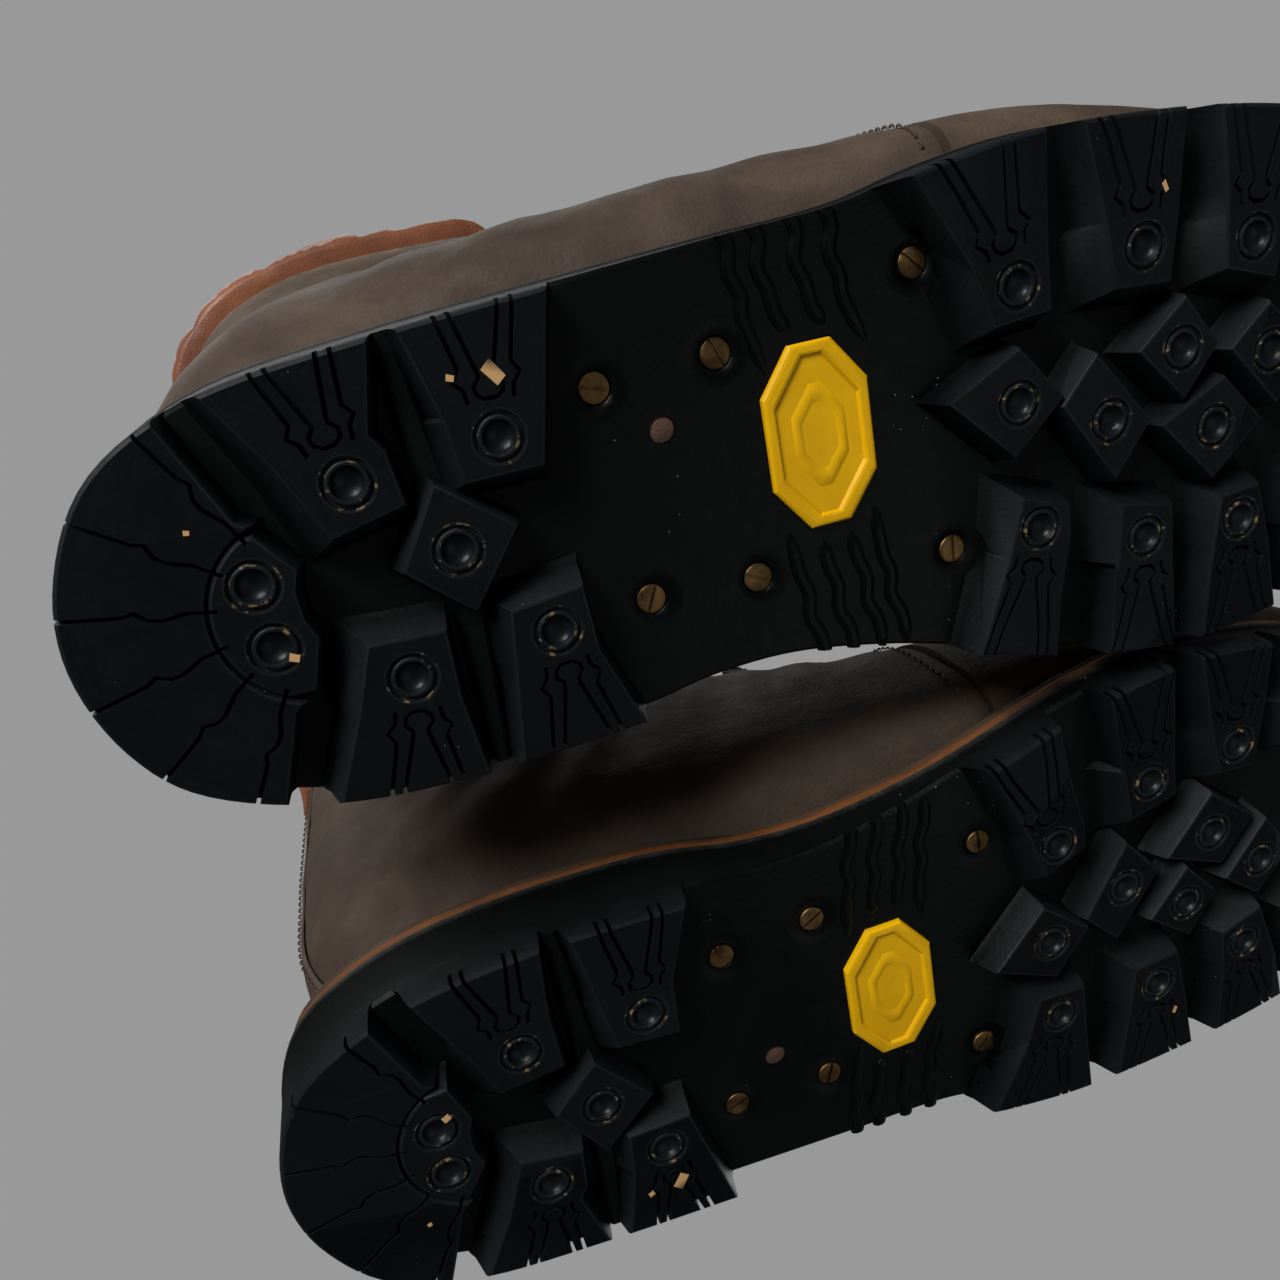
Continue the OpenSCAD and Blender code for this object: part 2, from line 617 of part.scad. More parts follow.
module lace_hooks() {
    tail = 11;
    post_r = 1.4;
    tab_z = 6.2;
    color([0.6, 0.61, 0.62])
    for (u = hook_rows) for (outer = [true, false]) on_leather(u, outer) {
        translate([-tail, -clip_w / 2, plate_z]) cube([tail + 2, clip_w, plate_t]);
        translate([0, 0, plate_z]) cylinder(r = post_r, h = tab_z - plate_z + 0.5);
        translate([-5, -2.5, tab_z]) cube([6.5, 5, plate_t]);
        translate([-5, 0, tab_z]) cylinder(r = 2.5, h = plate_t);
    }
}

module rivets() {
    head = 2.6;
    color([0.7, 0.71, 0.72])
    for (u = concat(ring_rows, hook_rows)) for (outer = [true, false])
        on_leather(u, outer) translate([-8, 0, plate_z + plate_t]) rotate_extrude()
            polygon([[0, 0.02], [head, 0.02], [head * 0.8, 0.8], [head * 0.4, 1.2], [0, 1.3]]);
}

// ---- lace: one cord, from one end down through the hardware and up to the other end ----
turn_r = 3.7;
apex_z = bar_z + ring_r * sin(ring_tilt);
// Round a ring's bow, in the plane across the wire
function ring_turn(u, outer) =
    let (f = frame_at(u, outer))
    [for (a = [-90:-36:-270]) place(f, [ring_r + turn_r * cos(a) , 0, apex_z + turn_r * sin(a)])];
// Round a hook's post, in the plane of the leather
function hook_turn(u, outer) =
    let (f = frame_at(u, outer), z = 3.6)
    [for (a = [-90:-36:-270]) place(f, [turn_r * cos(a), turn_r * sin(a), z])];
// The place where the two halves cross between two rows, one passing over the other
function crossing(u, lift) = skin(u, 180, 0) + (1.6 + lift) * [0.55, 0, 0.83];
// Where it passes over a facing's edge on its way there
edge_clear = lace_r + 1.7;
function over_edge(u, outer) = skin(u, (outer ? 1 : -1) * angle_at(u, throat(u) + 1.5, outer), -edge_clear);
// From one row to the next, clear of the facings' edges where the row is one of hooks
function crossover(u, up, side, lift, leave, arrive) = concat(
    leave ? [over_edge(u + up * 0.25, side)] : [],
    [crossing(u + up / 2, lift)],
    arrive ? [over_edge(u + up * 0.75, !side)] : []);
// One half of the lace: the side it starts on, and how far it is lifted where it crosses the other half
function half(outer, lift) =
    let (rows = concat(ring_rows, hook_rows))
    [for (k = [0:5]) let (side = (k % 2 == 0) == outer)
        for (p = concat(
            k < 2 ? ring_turn(rows[k], side) : hook_turn(rows[k], side),
            k < 5 ? crossover(rows[k], rows[k + 1] - rows[k], side, lift, k >= 2, k >= 1) : [])) p];
// The loose end, hanging from the top hook down the front of the shaft
function tail(s) = [[126, s * 9, 176], [133, s * 15, 166], [139, s * 17, 154], [147, s * 19, 144]];

module lace() {
    m = 6;
    ends_r = [for (p = tail(1)) [p[0] * kx, p[1], p[2]]];
    ends_l = [for (p = tail(-1)) [p[0] * kx, p[1], p[2]]];
    a = half(true, lace_r + 0.4);
    b = half(false, -lace_r - 0.4);
    low = skin(ring_rows[0], 180, 0) + [1, 0, 1.5];
    path = concat([for (i = [3:-1:0]) ends_r[i]], [for (i = [len(a) - 1:-1:0]) a[i]], [low], b, ends_l);
    n = len(path);
    tangents = [for (i = [0:n - 1]) unit(path[min(i + 1, n - 1)] - path[max(i - 1, 0)])];
    normals = [for (i = 0, v = unit(cross(tangents[0], [0, 1, 0])); i < n;
        i = i + 1, v = i < n ? unit(v - (v * tangents[i]) * tangents[i]) : v) v];
    points = [for (i = [0:n - 1]) for (j = [0:m - 1]) let (w = cross(tangents[i], normals[i]))
        path[i] + lace_r * (cos(j * 360 / m) * normals[i] + sin(j * 360 / m) * w)];
    function id(i, j) = i * m + j % m;
    sides = [for (i = [0:n - 2]) for (j = [0:m - 1]) for (f =
        [[id(i, j), id(i + 1, j), id(i + 1, j + 1)], [id(i, j), id(i + 1, j + 1), id(i, j + 1)]]) f];
    color([0.16, 0.13, 0.12])
    polyhedron(points, concat(sides, [[for (j = [0:m - 1]) j]], [[for (j = [m - 1:-1:0]) (n - 1) * m + j]]));
}

// ---- the pair ----
module right() {
    translate([-(heel_x + toe_x) / 2, -pair_spacing / 2, 0]) children();
}

module left() {
    mirror([0, 1, 0]) right() children();
}

right() outsole();  // right_outsole
right() sole_badge();  // right_sole_badge
right() sole_screws();  // right_sole_screws
right() midsole();  // right_midsole
right() welt();  // right_welt
right() welt_stitching();  // right_welt_stitching
right() cork_filler();  // right_cork_filler
right() shank();  // right_shank
right() insole_board();  // right_insole_board
right() footbed();  // right_footbed
right() vamp();  // right_vamp
right() quarters();  // right_quarters
right() backstay();  // right_backstay
right() toe_puff();  // right_toe_puff
right() heel_counter();  // right_heel_counter
right() vamp_lining();  // right_vamp_lining
right() quarter_lining();  // right_quarter_lining
right() collar();  // right_collar
right() collar_foam();  // right_collar_foam
right() tongue();  // right_tongue
right() lace_hooks();  // right_lace_hooks
right() ring_clips();  // right_ring_clips
right() rivets();  // right_rivets
right() lace();  // right_lace
right() ring_lower_outer();  // right_ring_lower_outer
right() ring_lower_inner();  // right_ring_lower_inner
right() ring_upper_outer();  // right_ring_upper_outer
right() ring_upper_inner();  // right_ring_upper_inner
left() outsole();  // left_outsole
left() sole_badge();  // left_sole_badge
left() sole_screws();  // left_sole_screws
left() midsole();  // left_midsole
left() welt();  // left_welt
left() welt_stitching();  // left_welt_stitching
left() cork_filler();  // left_cork_filler
left() shank();  // left_shank
left() insole_board();  // left_insole_board
left() footbed();  // left_footbed
left() vamp();  // left_vamp
left() quarters();  // left_quarters
left() backstay();  // left_backstay
left() toe_puff();  // left_toe_puff
left() heel_counter();  // left_heel_counter
left() vamp_lining();  // left_vamp_lining
left() quarter_lining();  // left_quarter_lining
left() collar();  // left_collar
left() collar_foam();  // left_collar_foam
left() tongue();  // left_tongue
left() lace_hooks();  // left_lace_hooks
left() ring_clips();  // left_ring_clips
left() rivets();  // left_rivets
left() lace();  // left_lace
left() ring_lower_outer();  // left_ring_lower_outer
left() ring_lower_inner();  // left_ring_lower_inner
left() ring_upper_outer();  // left_ring_upper_outer
left() ring_upper_inner();  // left_ring_upper_inner
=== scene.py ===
import math
import random

import bmesh
import bpy
import numpy as np
from mathutils import Matrix, Vector, noise
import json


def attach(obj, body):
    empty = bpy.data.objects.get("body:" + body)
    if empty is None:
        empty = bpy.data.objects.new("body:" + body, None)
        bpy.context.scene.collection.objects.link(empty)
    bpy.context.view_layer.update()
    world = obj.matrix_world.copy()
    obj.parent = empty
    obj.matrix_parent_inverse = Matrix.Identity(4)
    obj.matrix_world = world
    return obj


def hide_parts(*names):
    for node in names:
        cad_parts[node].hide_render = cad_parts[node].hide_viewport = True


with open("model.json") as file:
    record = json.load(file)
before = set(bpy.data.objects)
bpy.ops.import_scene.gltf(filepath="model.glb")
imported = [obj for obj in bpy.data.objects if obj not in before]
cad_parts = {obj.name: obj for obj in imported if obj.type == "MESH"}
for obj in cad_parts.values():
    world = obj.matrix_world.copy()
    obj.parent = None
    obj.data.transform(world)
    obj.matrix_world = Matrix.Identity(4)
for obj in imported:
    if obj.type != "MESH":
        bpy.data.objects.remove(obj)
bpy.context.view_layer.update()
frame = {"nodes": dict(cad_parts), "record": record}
MM = 0.001
SIDES = ("right", "left")


# ---------------------------------------------------------------- points and curves
def unit(v):
    v = np.asarray(v, float)
    return v / (np.linalg.norm(v) + 1e-12)


def spline(a, b, c, d, t):
    return 0.5 * (2 * b + (c - a) * t + (2 * a - 5 * b + 4 * c - d) * t * t
                  + (3 * b - a - 3 * c + d) * t ** 3)


def along(rows, u):
    n = len(rows) - 1
    i = min(max(int(math.floor(u)), 0), n - 1)
    return spline(rows[max(i - 1, 0)], rows[i], rows[i + 1], rows[min(i + 2, n)], u - i)


def smooth_loop(points, steps):
    p = np.asarray(points, float)
    n = len(p)
    return np.array([spline(p[i - 1], p[i], p[(i + 1) % n], p[(i + 2) % n], s / steps)
                     for i in range(n) for s in range(steps)])


def smooth_path(points, steps):
    p = np.asarray(points, float)
    return np.array([along(p, i / steps) for i in range((len(p) - 1) * steps + 1)])


def inset(loop, d):
    """A closed loop moved inwards along its normals; d may be one number or one per point."""
    t = np.roll(loop, -1, 0) - np.roll(loop, 1, 0)
    t /= np.linalg.norm(t, axis=1)[:, None]
    return loop + np.asarray(d).reshape(-1, 1) * np.column_stack([-t[:, 1], t[:, 0]])


def resample(points, step, closed=False):
    p = np.asarray(points, float)
    if closed:
        p = np.vstack([p, p[:1]])
    seg = np.linalg.norm(np.diff(p, axis=0), axis=1)
    s = np.concatenate([[0], np.cumsum(seg)])
    n = max(int(round(s[-1] / step)), 2)
    at = np.linspace(0, s[-1], n + 1)
    out = np.column_stack([np.interp(at, s, p[:, k]) for k in range(p.shape[1])])
    return out[:-1] if closed else out


# ---------------------------------------------------------------- the boot's driving sizes
SPACING = -(frame["record"]["mounts"][0]["pos_m"][1] / MM + 1.5) * 2
LUG = 7.5
HEEL_STACK = 24.0
BALL_STACK = 14.0
BREAST_X, BALL_X, SPRING_X, SPRING_R = 90.0, 165.0, 245.0, 260.0
MIDSOLE_T, WELT_T = 3.0, 2.5
WELT_TOP = MIDSOLE_T + WELT_T


def spring(x):
    x = np.asarray(x, float)
    d = np.clip(x - SPRING_X, 0, None)
    return SPRING_R - np.sqrt(SPRING_R ** 2 - d ** 2)


def stack(x):
    return np.interp(x, [BREAST_X, BALL_X], [HEEL_STACK, BALL_STACK])


def sole_top(x):
    return spring(x) + stack(x)


heel_half = [[0, -1], [3.5, -17], [14, -31.5], [33, -40], [62, -43.5], [95, -45.7]]
outer_half = [[125, -47.5], [150, -48.8], [168, -52.3], [190, -54.6], [221, -53.4], [248, -49.5]]
toe_part = [[272, -43], [291, -33], [305, -19.5], [313, -6], [314.8, 4], [311, 14], [301, 25.5],
            [286, 37.5], [266, 48]]
inner_half = [[245, 54], [223, 56.6], [198, 53.5], [170, 45.5], [150, 39.6], [130, 35.6],
              [112, 35.4], [95, 37.6], [62, 38.5], [35, 35.8], [14, 27.4], [4, 15.5]]
SOLE = smooth_loop(heel_half + outer_half + toe_part + inner_half, 6)
X_SHIFT = (SOLE[:, 0].min() + SOLE[:, 0].max()) / 2


# ---------------------------------------------------------------- meshes
def place_points(co, side):
    """Boot frame in millimetres to the row frame in metres."""
    co = np.array(co, float)
    co[:, 0] -= X_SHIFT
    co[:, 1] -= SPACING / 2
    if side == "left":
        co[:, 1] *= -1
    return co * MM


def new_object(name, data):
    ob = bpy.data.objects.new(name, data)
    bpy.context.scene.collection.objects.link(ob)
    return ob


def raw_mesh(name, verts, faces):
    me = bpy.data.meshes.new(name)
    me.from_pydata([tuple(map(float, v)) for v in verts], [], [tuple(f) for f in faces])
    me.update()
    return me


def coords(me):
    co = np.zeros(len(me.vertices) * 3)
    me.vertices.foreach_get("co", co)
    return co.reshape(-1, 3)


def paint(me, name, values):
    """One number per point, which a look can read."""
    a = me.attributes.new(name, "FLOAT", "POINT")
    a.data.foreach_set("value", np.asarray(values, np.float32))


def level(f):
    return abs(f.normal.z) > 0.9999


def smooth_by_angle(me, degrees):
    """Smooth shading, sharp where two faces meet at more than this angle and round every level face."""
    bm = bmesh.new()
    bm.from_mesh(me)
    limit = math.radians(degrees)
    for f in bm.faces:
        f.smooth = True
    for e in bm.edges:
        e.smooth = (len(e.link_faces) == 2 and e.calc_face_angle(0) < limit
                    and level(e.link_faces[0]) == level(e.link_faces[1]))
    bm.to_mesh(me)
    bm.free()


def outward(me):
    bm = bmesh.new()
    bm.from_mesh(me)
    bmesh.ops.recalc_face_normals(bm, faces=bm.faces)
    bm.to_mesh(me)
    bm.free()


def closed_mesh(name, verts, faces):
    me = raw_mesh(name, verts, faces)
    outward(me)
    return me


def put(name, me, look, angle=50, body="boot", nodes=None):
    """Places a right-boot mesh and its mirror image on their bodies. They replace the node of the same name,
    or the nodes named."""
    co = coords(me)
    smooth_by_angle(me, angle)
    for side in SIDES:
        m = me if side == "right" else me.copy()
        m.name = f"{side}_{name}"
        m.vertices.foreach_set("co", place_points(co, side).ravel())
        if side == "left":
            m.flip_normals()
        m.materials.clear()
        m.materials.append(look)
        m.update()
        ob = new_object(f"{side}_{name}_look", m)
        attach(ob, f"{side}_{body}")
        replaced = [f"{side}_{n}" for n in ([name] if nodes is None else nodes)]
        if replaced:
            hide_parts(*replaced)


def ring_faces(count, n, first=0, flip=False, wrap=True, closed=False):
    """Quads between rings of n points: wrap joins each ring's ends, closed joins the last ring to the first
    one, flip turns the quads over."""
    faces = []
    for i in range(count if closed else count - 1):
        a, b = first + i * n, first + (i + 1) % count * n
        for j in range(n if wrap else n - 1):
            k = (j + 1) % n
            faces.append((a + j, b + j, b + k, a + k) if flip else (a + j, a + k, b + k, b + j))
    return faces


def lathe(profile, steps, centre=(0, 0, 0)):
    """A closed solid turned about z from (radius, z) points that start and end on the axis."""
    verts, faces, rings = [], [], []
    for r, z in profile:
        if r < 1e-9:
            rings.append([len(verts)])
            verts.append((centre[0], centre[1], centre[2] + z))
        else:
            rings.append(list(range(len(verts), len(verts) + steps)))
            verts += [(centre[0] + r * math.cos(2 * math.pi * k / steps),
                       centre[1] + r * math.sin(2 * math.pi * k / steps), centre[2] + z)
                      for k in range(steps)]
    for a, b in zip(rings, rings[1:]):
        for k in range(steps):
            j = (k + 1) % steps
            if len(a) == 1 and len(b) > 1:
                faces.append((a[0], b[j], b[k]))
            elif len(b) == 1 and len(a) > 1:
                faces.append((a[k], a[j], b[0]))
            elif len(a) > 1:
                faces.append((a[k], a[j], b[j], b[k]))
    return verts, faces


def stacked(rings):
    """A closed solid from loops with the same number of points, first and last capped."""
    n = len(rings[0])
    verts = [tuple(p) for ring in rings for p in ring]
    last = (len(rings) - 1) * n
    caps = [tuple(range(n - 1, -1, -1)), tuple(range(last, last + n))]
    return verts, caps + ring_faces(len(rings), n)


def joined(parts):
    verts, faces = [], []
    for v, f in parts:
        o = len(verts)
        verts += list(v)
        faces += [tuple(i + o for i in face) for face in f]
    return verts, faces


def flat(loop, z):
    loop = np.asarray(loop, float)
    return np.column_stack([loop, np.full(len(loop), float(z))])


def boolean(ob, tool, operation):
    """Applies the operation to the object's mesh and removes the tool."""
    m = ob.modifiers.new("cut", "BOOLEAN")
    m.operation = operation
    m.solver = "EXACT"
    m.object = tool
    m.use_self = True
    bpy.context.view_layer.update()
    deps = bpy.context.evaluated_depsgraph_get()
    me = bpy.data.meshes.new_from_object(ob.evaluated_get(deps))
    ob.modifiers.clear()
    ob.data = me
    bpy.data.objects.remove(tool)


def solid(name, parts):
    return new_object(name, closed_mesh(name, *joined(parts)))


def grown(loop, amounts):
    """A polygon whose every edge moves outwards by its own amount, corners mitred."""
    p = np.asarray(loop, float)
    n = len(p)
    area = sum(p[i - 1][0] * p[i][1] - p[i][0] * p[i - 1][1] for i in range(n))
    sign = 1 if area > 0 else -1
    normals = [unit(sign * np.array([(p[(i + 1) % n] - p[i])[1], -(p[(i + 1) % n] - p[i])[0]]))
               for i in range(n)]
    if callable(amounts):
        amounts = [amounts(m, (p[i] + p[(i + 1) % n]) / 2) for i, m in enumerate(normals)]
    else:
        amounts = [amounts] * n
    out = []
    for i in range(n):
        a, b = normals[i - 1], normals[i]
        da, db = amounts[i - 1], amounts[i]
        det = a[0] * b[1] - a[1] * b[0]
        if abs(det) < 0.15:
            out.append(p[i] + unit(a + b) * (da + db) / 2)
        else:
            out.append(p[i] + np.array([(da * b[1] - db * a[1]) / det, (db * a[0] - da * b[0]) / det]))
    return np.array(out)


# ---------------------------------------------------------------- materials
def linear(rgb):
    """An sRGB colour in 0-255 as a linear RGBA value."""
    out = []
    for c in rgb:
        c = c / 255
        out.append(c / 12.92 if c <= 0.04045 else ((c + 0.055) / 1.055) ** 2.4)
    return (*out, 1.0)


# The colour mode's sockets on a Mix node, whose names repeat in its other modes
MIX_A, MIX_B, MIX_OUT = 6, 7, 2


class Wiring:
    """The node tree of a material or a world."""

    def __init__(self, owner):
        owner.use_nodes = True
        self.owner = owner
        self.tree = owner.node_tree

    def set(self, socket, value):
        """Gives an input a value, or links it to another node's output."""
        if isinstance(value, bpy.types.NodeSocket):
            self.tree.links.new(value, socket)
        elif value is not None:
            socket.default_value = value

    def node(self, kind, inputs, **settings):
        n = self.tree.nodes.new("ShaderNode" + kind)
        for key, value in settings.items():
            setattr(n, key, value)
        for key, value in inputs.items():
            self.set(n.inputs[key], value)
        return n


class Look(Wiring):
    """A node material; its texture helpers return an output socket."""

    def __init__(self, name):
        super().__init__(bpy.data.materials.new(name))
        self.bsdf = self.tree.nodes["Principled BSDF"]
        self.where = self.node("TexCoord", {}).outputs["Object"]

    def noise(self, scale, detail=4, rough=0.55, distortion=0.0, stretch=None):
        where = self.where
        if stretch:
            where = self.node("Mapping", {"Vector": where, "Scale": stretch}).outputs["Vector"]
        return self.node("TexNoise", {"Vector": where, "Scale": scale, "Detail": detail, "Roughness": rough,
                                      "Distortion": distortion}).outputs["Fac"]

    def cells(self, scale):
        return self.node("TexVoronoi", {"Vector": self.where, "Scale": scale}).outputs["Distance"]

    def ramp(self, value, stops):
        n = self.node("ValToRGB", {"Fac": value})
        e = n.color_ramp.elements
        while len(e) < len(stops):
            e.new(0.5)
        for k, (at, colour) in enumerate(stops):
            e[k].position = at
            e[k].color = colour if len(colour) == 4 else linear(colour)
        return n.outputs["Color"]

    def span(self, value, a, b, c=0.0, d=1.0):
        """The value's range a to b turned into c to d, and held at both ends."""
        inputs = {"Value": value, "From Min": a, "From Max": b, "To Min": c, "To Max": d}
        return self.node("MapRange", inputs).outputs["Result"]

    def math(self, op, a, b):
        return self.node("Math", {0: a, 1: b}, operation=op).outputs[0]

    def mix(self, fac, a, b):
        a, b = (linear(v) if isinstance(v, tuple) and len(v) == 3 else v for v in (a, b))
        return self.node("Mix", {"Factor": fac, MIX_A: a, MIX_B: b}, data_type="RGBA").outputs[MIX_OUT]

    def attribute(self, name):
        return self.node("Attribute", {}, attribute_name=name).outputs["Fac"]

    def finish(self, colour, rough, bump=None, depth=0.0005, strength=1.0, metal=0.0, spec=None, coat=None):
        values = {"Base Color": colour, "Roughness": rough, "Metallic": metal, "Specular IOR Level": spec,
                  "Coat Weight": coat, "Coat Roughness": None if coat is None else 0.25}
        if bump is not None:
            n = self.node("Bump", {"Strength": strength, "Distance": depth, "Height": bump})
            values["Normal"] = n.outputs["Normal"]
        for key, value in values.items():
            self.set(self.bsdf.inputs[key], value)
        return self.owner


def rubber_look():
    """Near-black rubber: dull on the tread, blackened in the recesses by painted shade, shinier in the bowls
    and on the waist.
    """
    k = Look("rubber")
    broad = k.noise(35, 3, 0.6)
    dust = k.noise(260, 5, 0.7)
    recess_shade = k.attribute("recess_shade")                       # painted per point: 1 in the recesses
    colour = k.ramp(broad, [(0.3, (7, 11, 13)), (0.7, (14, 19, 22))])
    # painted shade: where the recess mask is 1, the rubber's colour goes to near black
    colour = k.mix(recess_shade, colour, (2, 4, 4))
    film = k.math("MULTIPLY", k.attribute("wear"), k.span(dust, 0.3, 0.6))
    colour = k.mix(film, colour, (82, 80, 70))
    specks = k.span(k.cells(420), 0.075, 0.04)
    rare = k.span(k.noise(48, 2), 0.60, 0.68)
    colour = k.mix(k.math("MULTIPLY", specks, rare), colour, (120, 116, 104))
    grit = k.math("MULTIPLY", k.attribute("rings"), k.span(k.noise(430, 3), 0.58, 0.64))
    colour = k.mix(grit, colour, (118, 100, 72))
    colour = k.mix(k.attribute("chip"), colour, (186, 146, 100))
    shine = k.math("MAXIMUM", k.math("MULTIPLY", k.attribute("polish"), 0.24),
                   k.math("MULTIPLY", k.attribute("bowl"), 0.2))
    rough = k.math("SUBTRACT", k.span(dust, 0.2, 0.8, 0.46, 0.66), shine)
    bump = k.math("ADD", k.noise(900, 4, 0.6), k.math("MULTIPLY", k.noise(120, 3), 2.0))
    return k.finish(colour, rough, bump, 0.00012, 0.6, spec=k.span(recess_shade, 0, 1, 0.16, 0.1))


def leather_look(name, dark, mid, pale, rough=(0.62, 0.85), grain=1100, crease=0.0003, coat=None, spec=0.2):
    """Waxed leather: cloudy colour, pores, fine creases, and a paler bloom where wear is painted."""
    k = Look(name)
    broad = k.noise(22, 5, 0.6, 0.6)
    patch = k.noise(70, 6, 0.65, 0.3)
    colour = k.ramp(broad, [(0.28, dark), (0.52, mid), (0.75, pale)])
    colour = k.mix(k.span(patch, 0.45, 0.75, 0.0, 0.55), colour, dark)
    scuff = k.math("MULTIPLY", k.attribute("wear"), k.span(k.noise(150, 5, 0.7), 0.3, 0.7, 0.35, 1.0))
    colour = k.mix(scuff, colour, tuple(min(255, c + 45) for c in pale))
    pores = k.cells(grain)
    bump = k.math("ADD", k.math("MULTIPLY", pores, 0.5), k.math("MULTIPLY", k.noise(220, 5, 0.6), 0.8))
    bump = k.math("ADD", bump, k.math("MULTIPLY", k.noise(60, 4, 0.6, 0.8, stretch=(1, 1, 2.2)), 1.2))
    return k.finish(colour, k.span(patch, 0.25, 0.8, *rough), bump, crease, 0.6, spec=spec, coat=coat)


def metal_look(name, dark, light, rough=(0.22, 0.42)):
    """Tarnished metal with fine scratches."""
    k = Look(name)
    colour = k.ramp(k.noise(160, 5, 0.6), [(0.3, dark), (0.7, light)])
    rough = k.span(k.noise(420, 4), 0.3, 0.7, *rough)
    return k.finish(colour, rough, k.noise(700, 3), 0.00008, 0.5, metal=1.0)


def plain_look(name, dark, light, scale, rough, depth=0.0002, spec=None):
    """Mottled plastic, cork, board or foam; scale is the size of its grain."""
    k = Look(name)
    colour = k.ramp(k.noise(scale, 5, 0.6), [(0.3, dark), (0.7, light)])
    return k.finish(colour, k.span(k.noise(scale * 3), 0.3, 0.7, *rough), k.noise(scale * 6, 4), depth, 0.6,
                    spec=spec)


def woven_look(name, dark, light, scale, depth=0.0002):
    """Cord or cloth: crossed waves for the yarns."""
    k = Look(name)
    yarns = k.node("TexWave", {"Vector": k.where, "Scale": scale, "Distortion": 1.5},
                   bands_direction="DIAGONAL").outputs["Fac"]
    n = k.noise(300, 4, 0.6)
    colour = k.ramp(n, [(0.3, dark), (0.7, light)])
    return k.finish(colour, k.span(n, 0.3, 0.7, 0.75, 0.95), k.math("ADD", yarns, n), depth, 0.8)


RUBBER = rubber_look()
UPPER = leather_look("upper_leather", (46, 36, 31), (66, 54, 45), (84, 71, 58))
BACKSTAY = leather_look("backstay_leather", (46, 35, 30), (66, 52, 44), (88, 74, 63))
WELT = leather_look("welt_leather", (44, 33, 24), (70, 52, 36), (92, 72, 50), (0.55, 0.8))
MIDSOLE = leather_look("midsole_leather", (70, 40, 20), (104, 62, 30), (126, 82, 46), (0.5, 0.8))
COLLAR = leather_look("collar_leather", (88, 50, 33), (126, 76, 50), (148, 98, 70), (0.42, 0.6), grain=1500,
                      crease=0.00025, coat=0.06, spec=0.3)
TONGUE = leather_look("tongue_leather", (62, 46, 37), (86, 66, 54), (104, 84, 70), (0.45, 0.7), 1400)
LINING = leather_look("lining_leather", (150, 120, 88), (176, 146, 110), (196, 170, 134), (0.55, 0.8), 1600)
BADGE = plain_look("badge_plastic", (198, 148, 0), (216, 166, 2), 60, (0.4, 0.55), 0.00008, 0.15)
BRASS = metal_look("screw_brass", linear((44, 30, 18)), linear((132, 104, 66)), (0.42, 0.62))
STEEL = metal_look("lacing_steel", linear((150, 152, 155)), linear((196, 198, 200)))
SHANK = metal_look("shank_steel", linear((110, 112, 116)), linear((150, 152, 156)), (0.4, 0.6))
THREAD = woven_look("thread", (120, 106, 84), (160, 146, 120), 900, 0.0001)
DARK_THREAD = woven_look("dark_thread", (44, 34, 28), (70, 56, 46), 900, 0.0001)
CORD = woven_look("lace_cord", (30, 24, 22), (62, 50, 44), 700, 0.0003)
CORK = plain_look("cork", (110, 76, 44), (156, 116, 74), 300, (0.8, 0.95), 0.0004)
BOARD = plain_look("board", (132, 100, 68), (160, 126, 90), 200, (0.75, 0.9))
FELT = woven_look("footbed_felt", (58, 54, 52), (88, 84, 80), 500, 0.0003)
STIFF = plain_look("stiffener", (150, 132, 104), (180, 162, 132), 180, (0.7, 0.9))
FOAM = plain_look("foam", (196, 186, 150), (222, 212, 178), 400, (0.85, 0.98), 0.0004)
PEG = plain_look("plug", (52, 34, 24), (78, 52, 36), 300, (0.6, 0.8), 0.0004)


# ---------------------------------------------------------------- outsole
# Each side lug: its outline at the tread, which runs out past the sole's edge, and its bowl's centre
OUTER_LUGS = [
    [[[29, -60], [33, -40], [41, -26], [47, -12], [61, -15], [60, -25], [58, -28], [62, -43.5], [63, -60]],
     [52.3, -21]],
    [[[66, -60], [66, -44], [70, -28], [71, -16], [86, -16], [93, -46], [94, -60]], [79.1, -22.8]],
    [[[157, -60], [161, -52], [172, -33], [176, -21], [189, -22], [189, -34], [190, -60]], [181.7, -28.1]],
    [[[196, -60], [201, -36], [203, -23], [216, -22], [218, -34], [221, -60]], [210, -30]],
    [[[227, -60], [229, -37], [229, -22], [241, -18], [246, -34], [250, -60]], [236, -27]],
    [[[257, -60], [254, -40], [251, -24], [262, -19], [268, -30], [279, -58]], [259.5, -30]]]
INNER_LUGS = [
    [[[34, 60], [35, 35.5], [43, 18.5], [47.5, 7.2], [62, 8.3], [61.6, 22], [63, 38], [63, 60]],
     [53.8, 15.5]],
    [[[69, 60], [69, 38.5], [71, 25], [73.5, 8], [88, 6.7], [88.7, 20], [95, 38], [98, 60]], [81.4, 14.2]],
    [[[160, 60], [168, 44.4], [176, 25], [180, 13], [191, 17], [191, 24], [188, 37], [185, 60]],
     [183.7, 20.5]],
    [[[198, 64], [201.5, 34], [203, 20], [216, 23], [216, 37], [216.5, 64]], [208.9, 28.9]],
    [[[222, 66], [225, 40], [228, 24.5], [238, 24], [241, 38], [244, 62]], [233, 31]],
    [[[250, 62], [249, 40], [249, 26], [260, 24], [266, 34], [274, 56]], [256, 32]]]
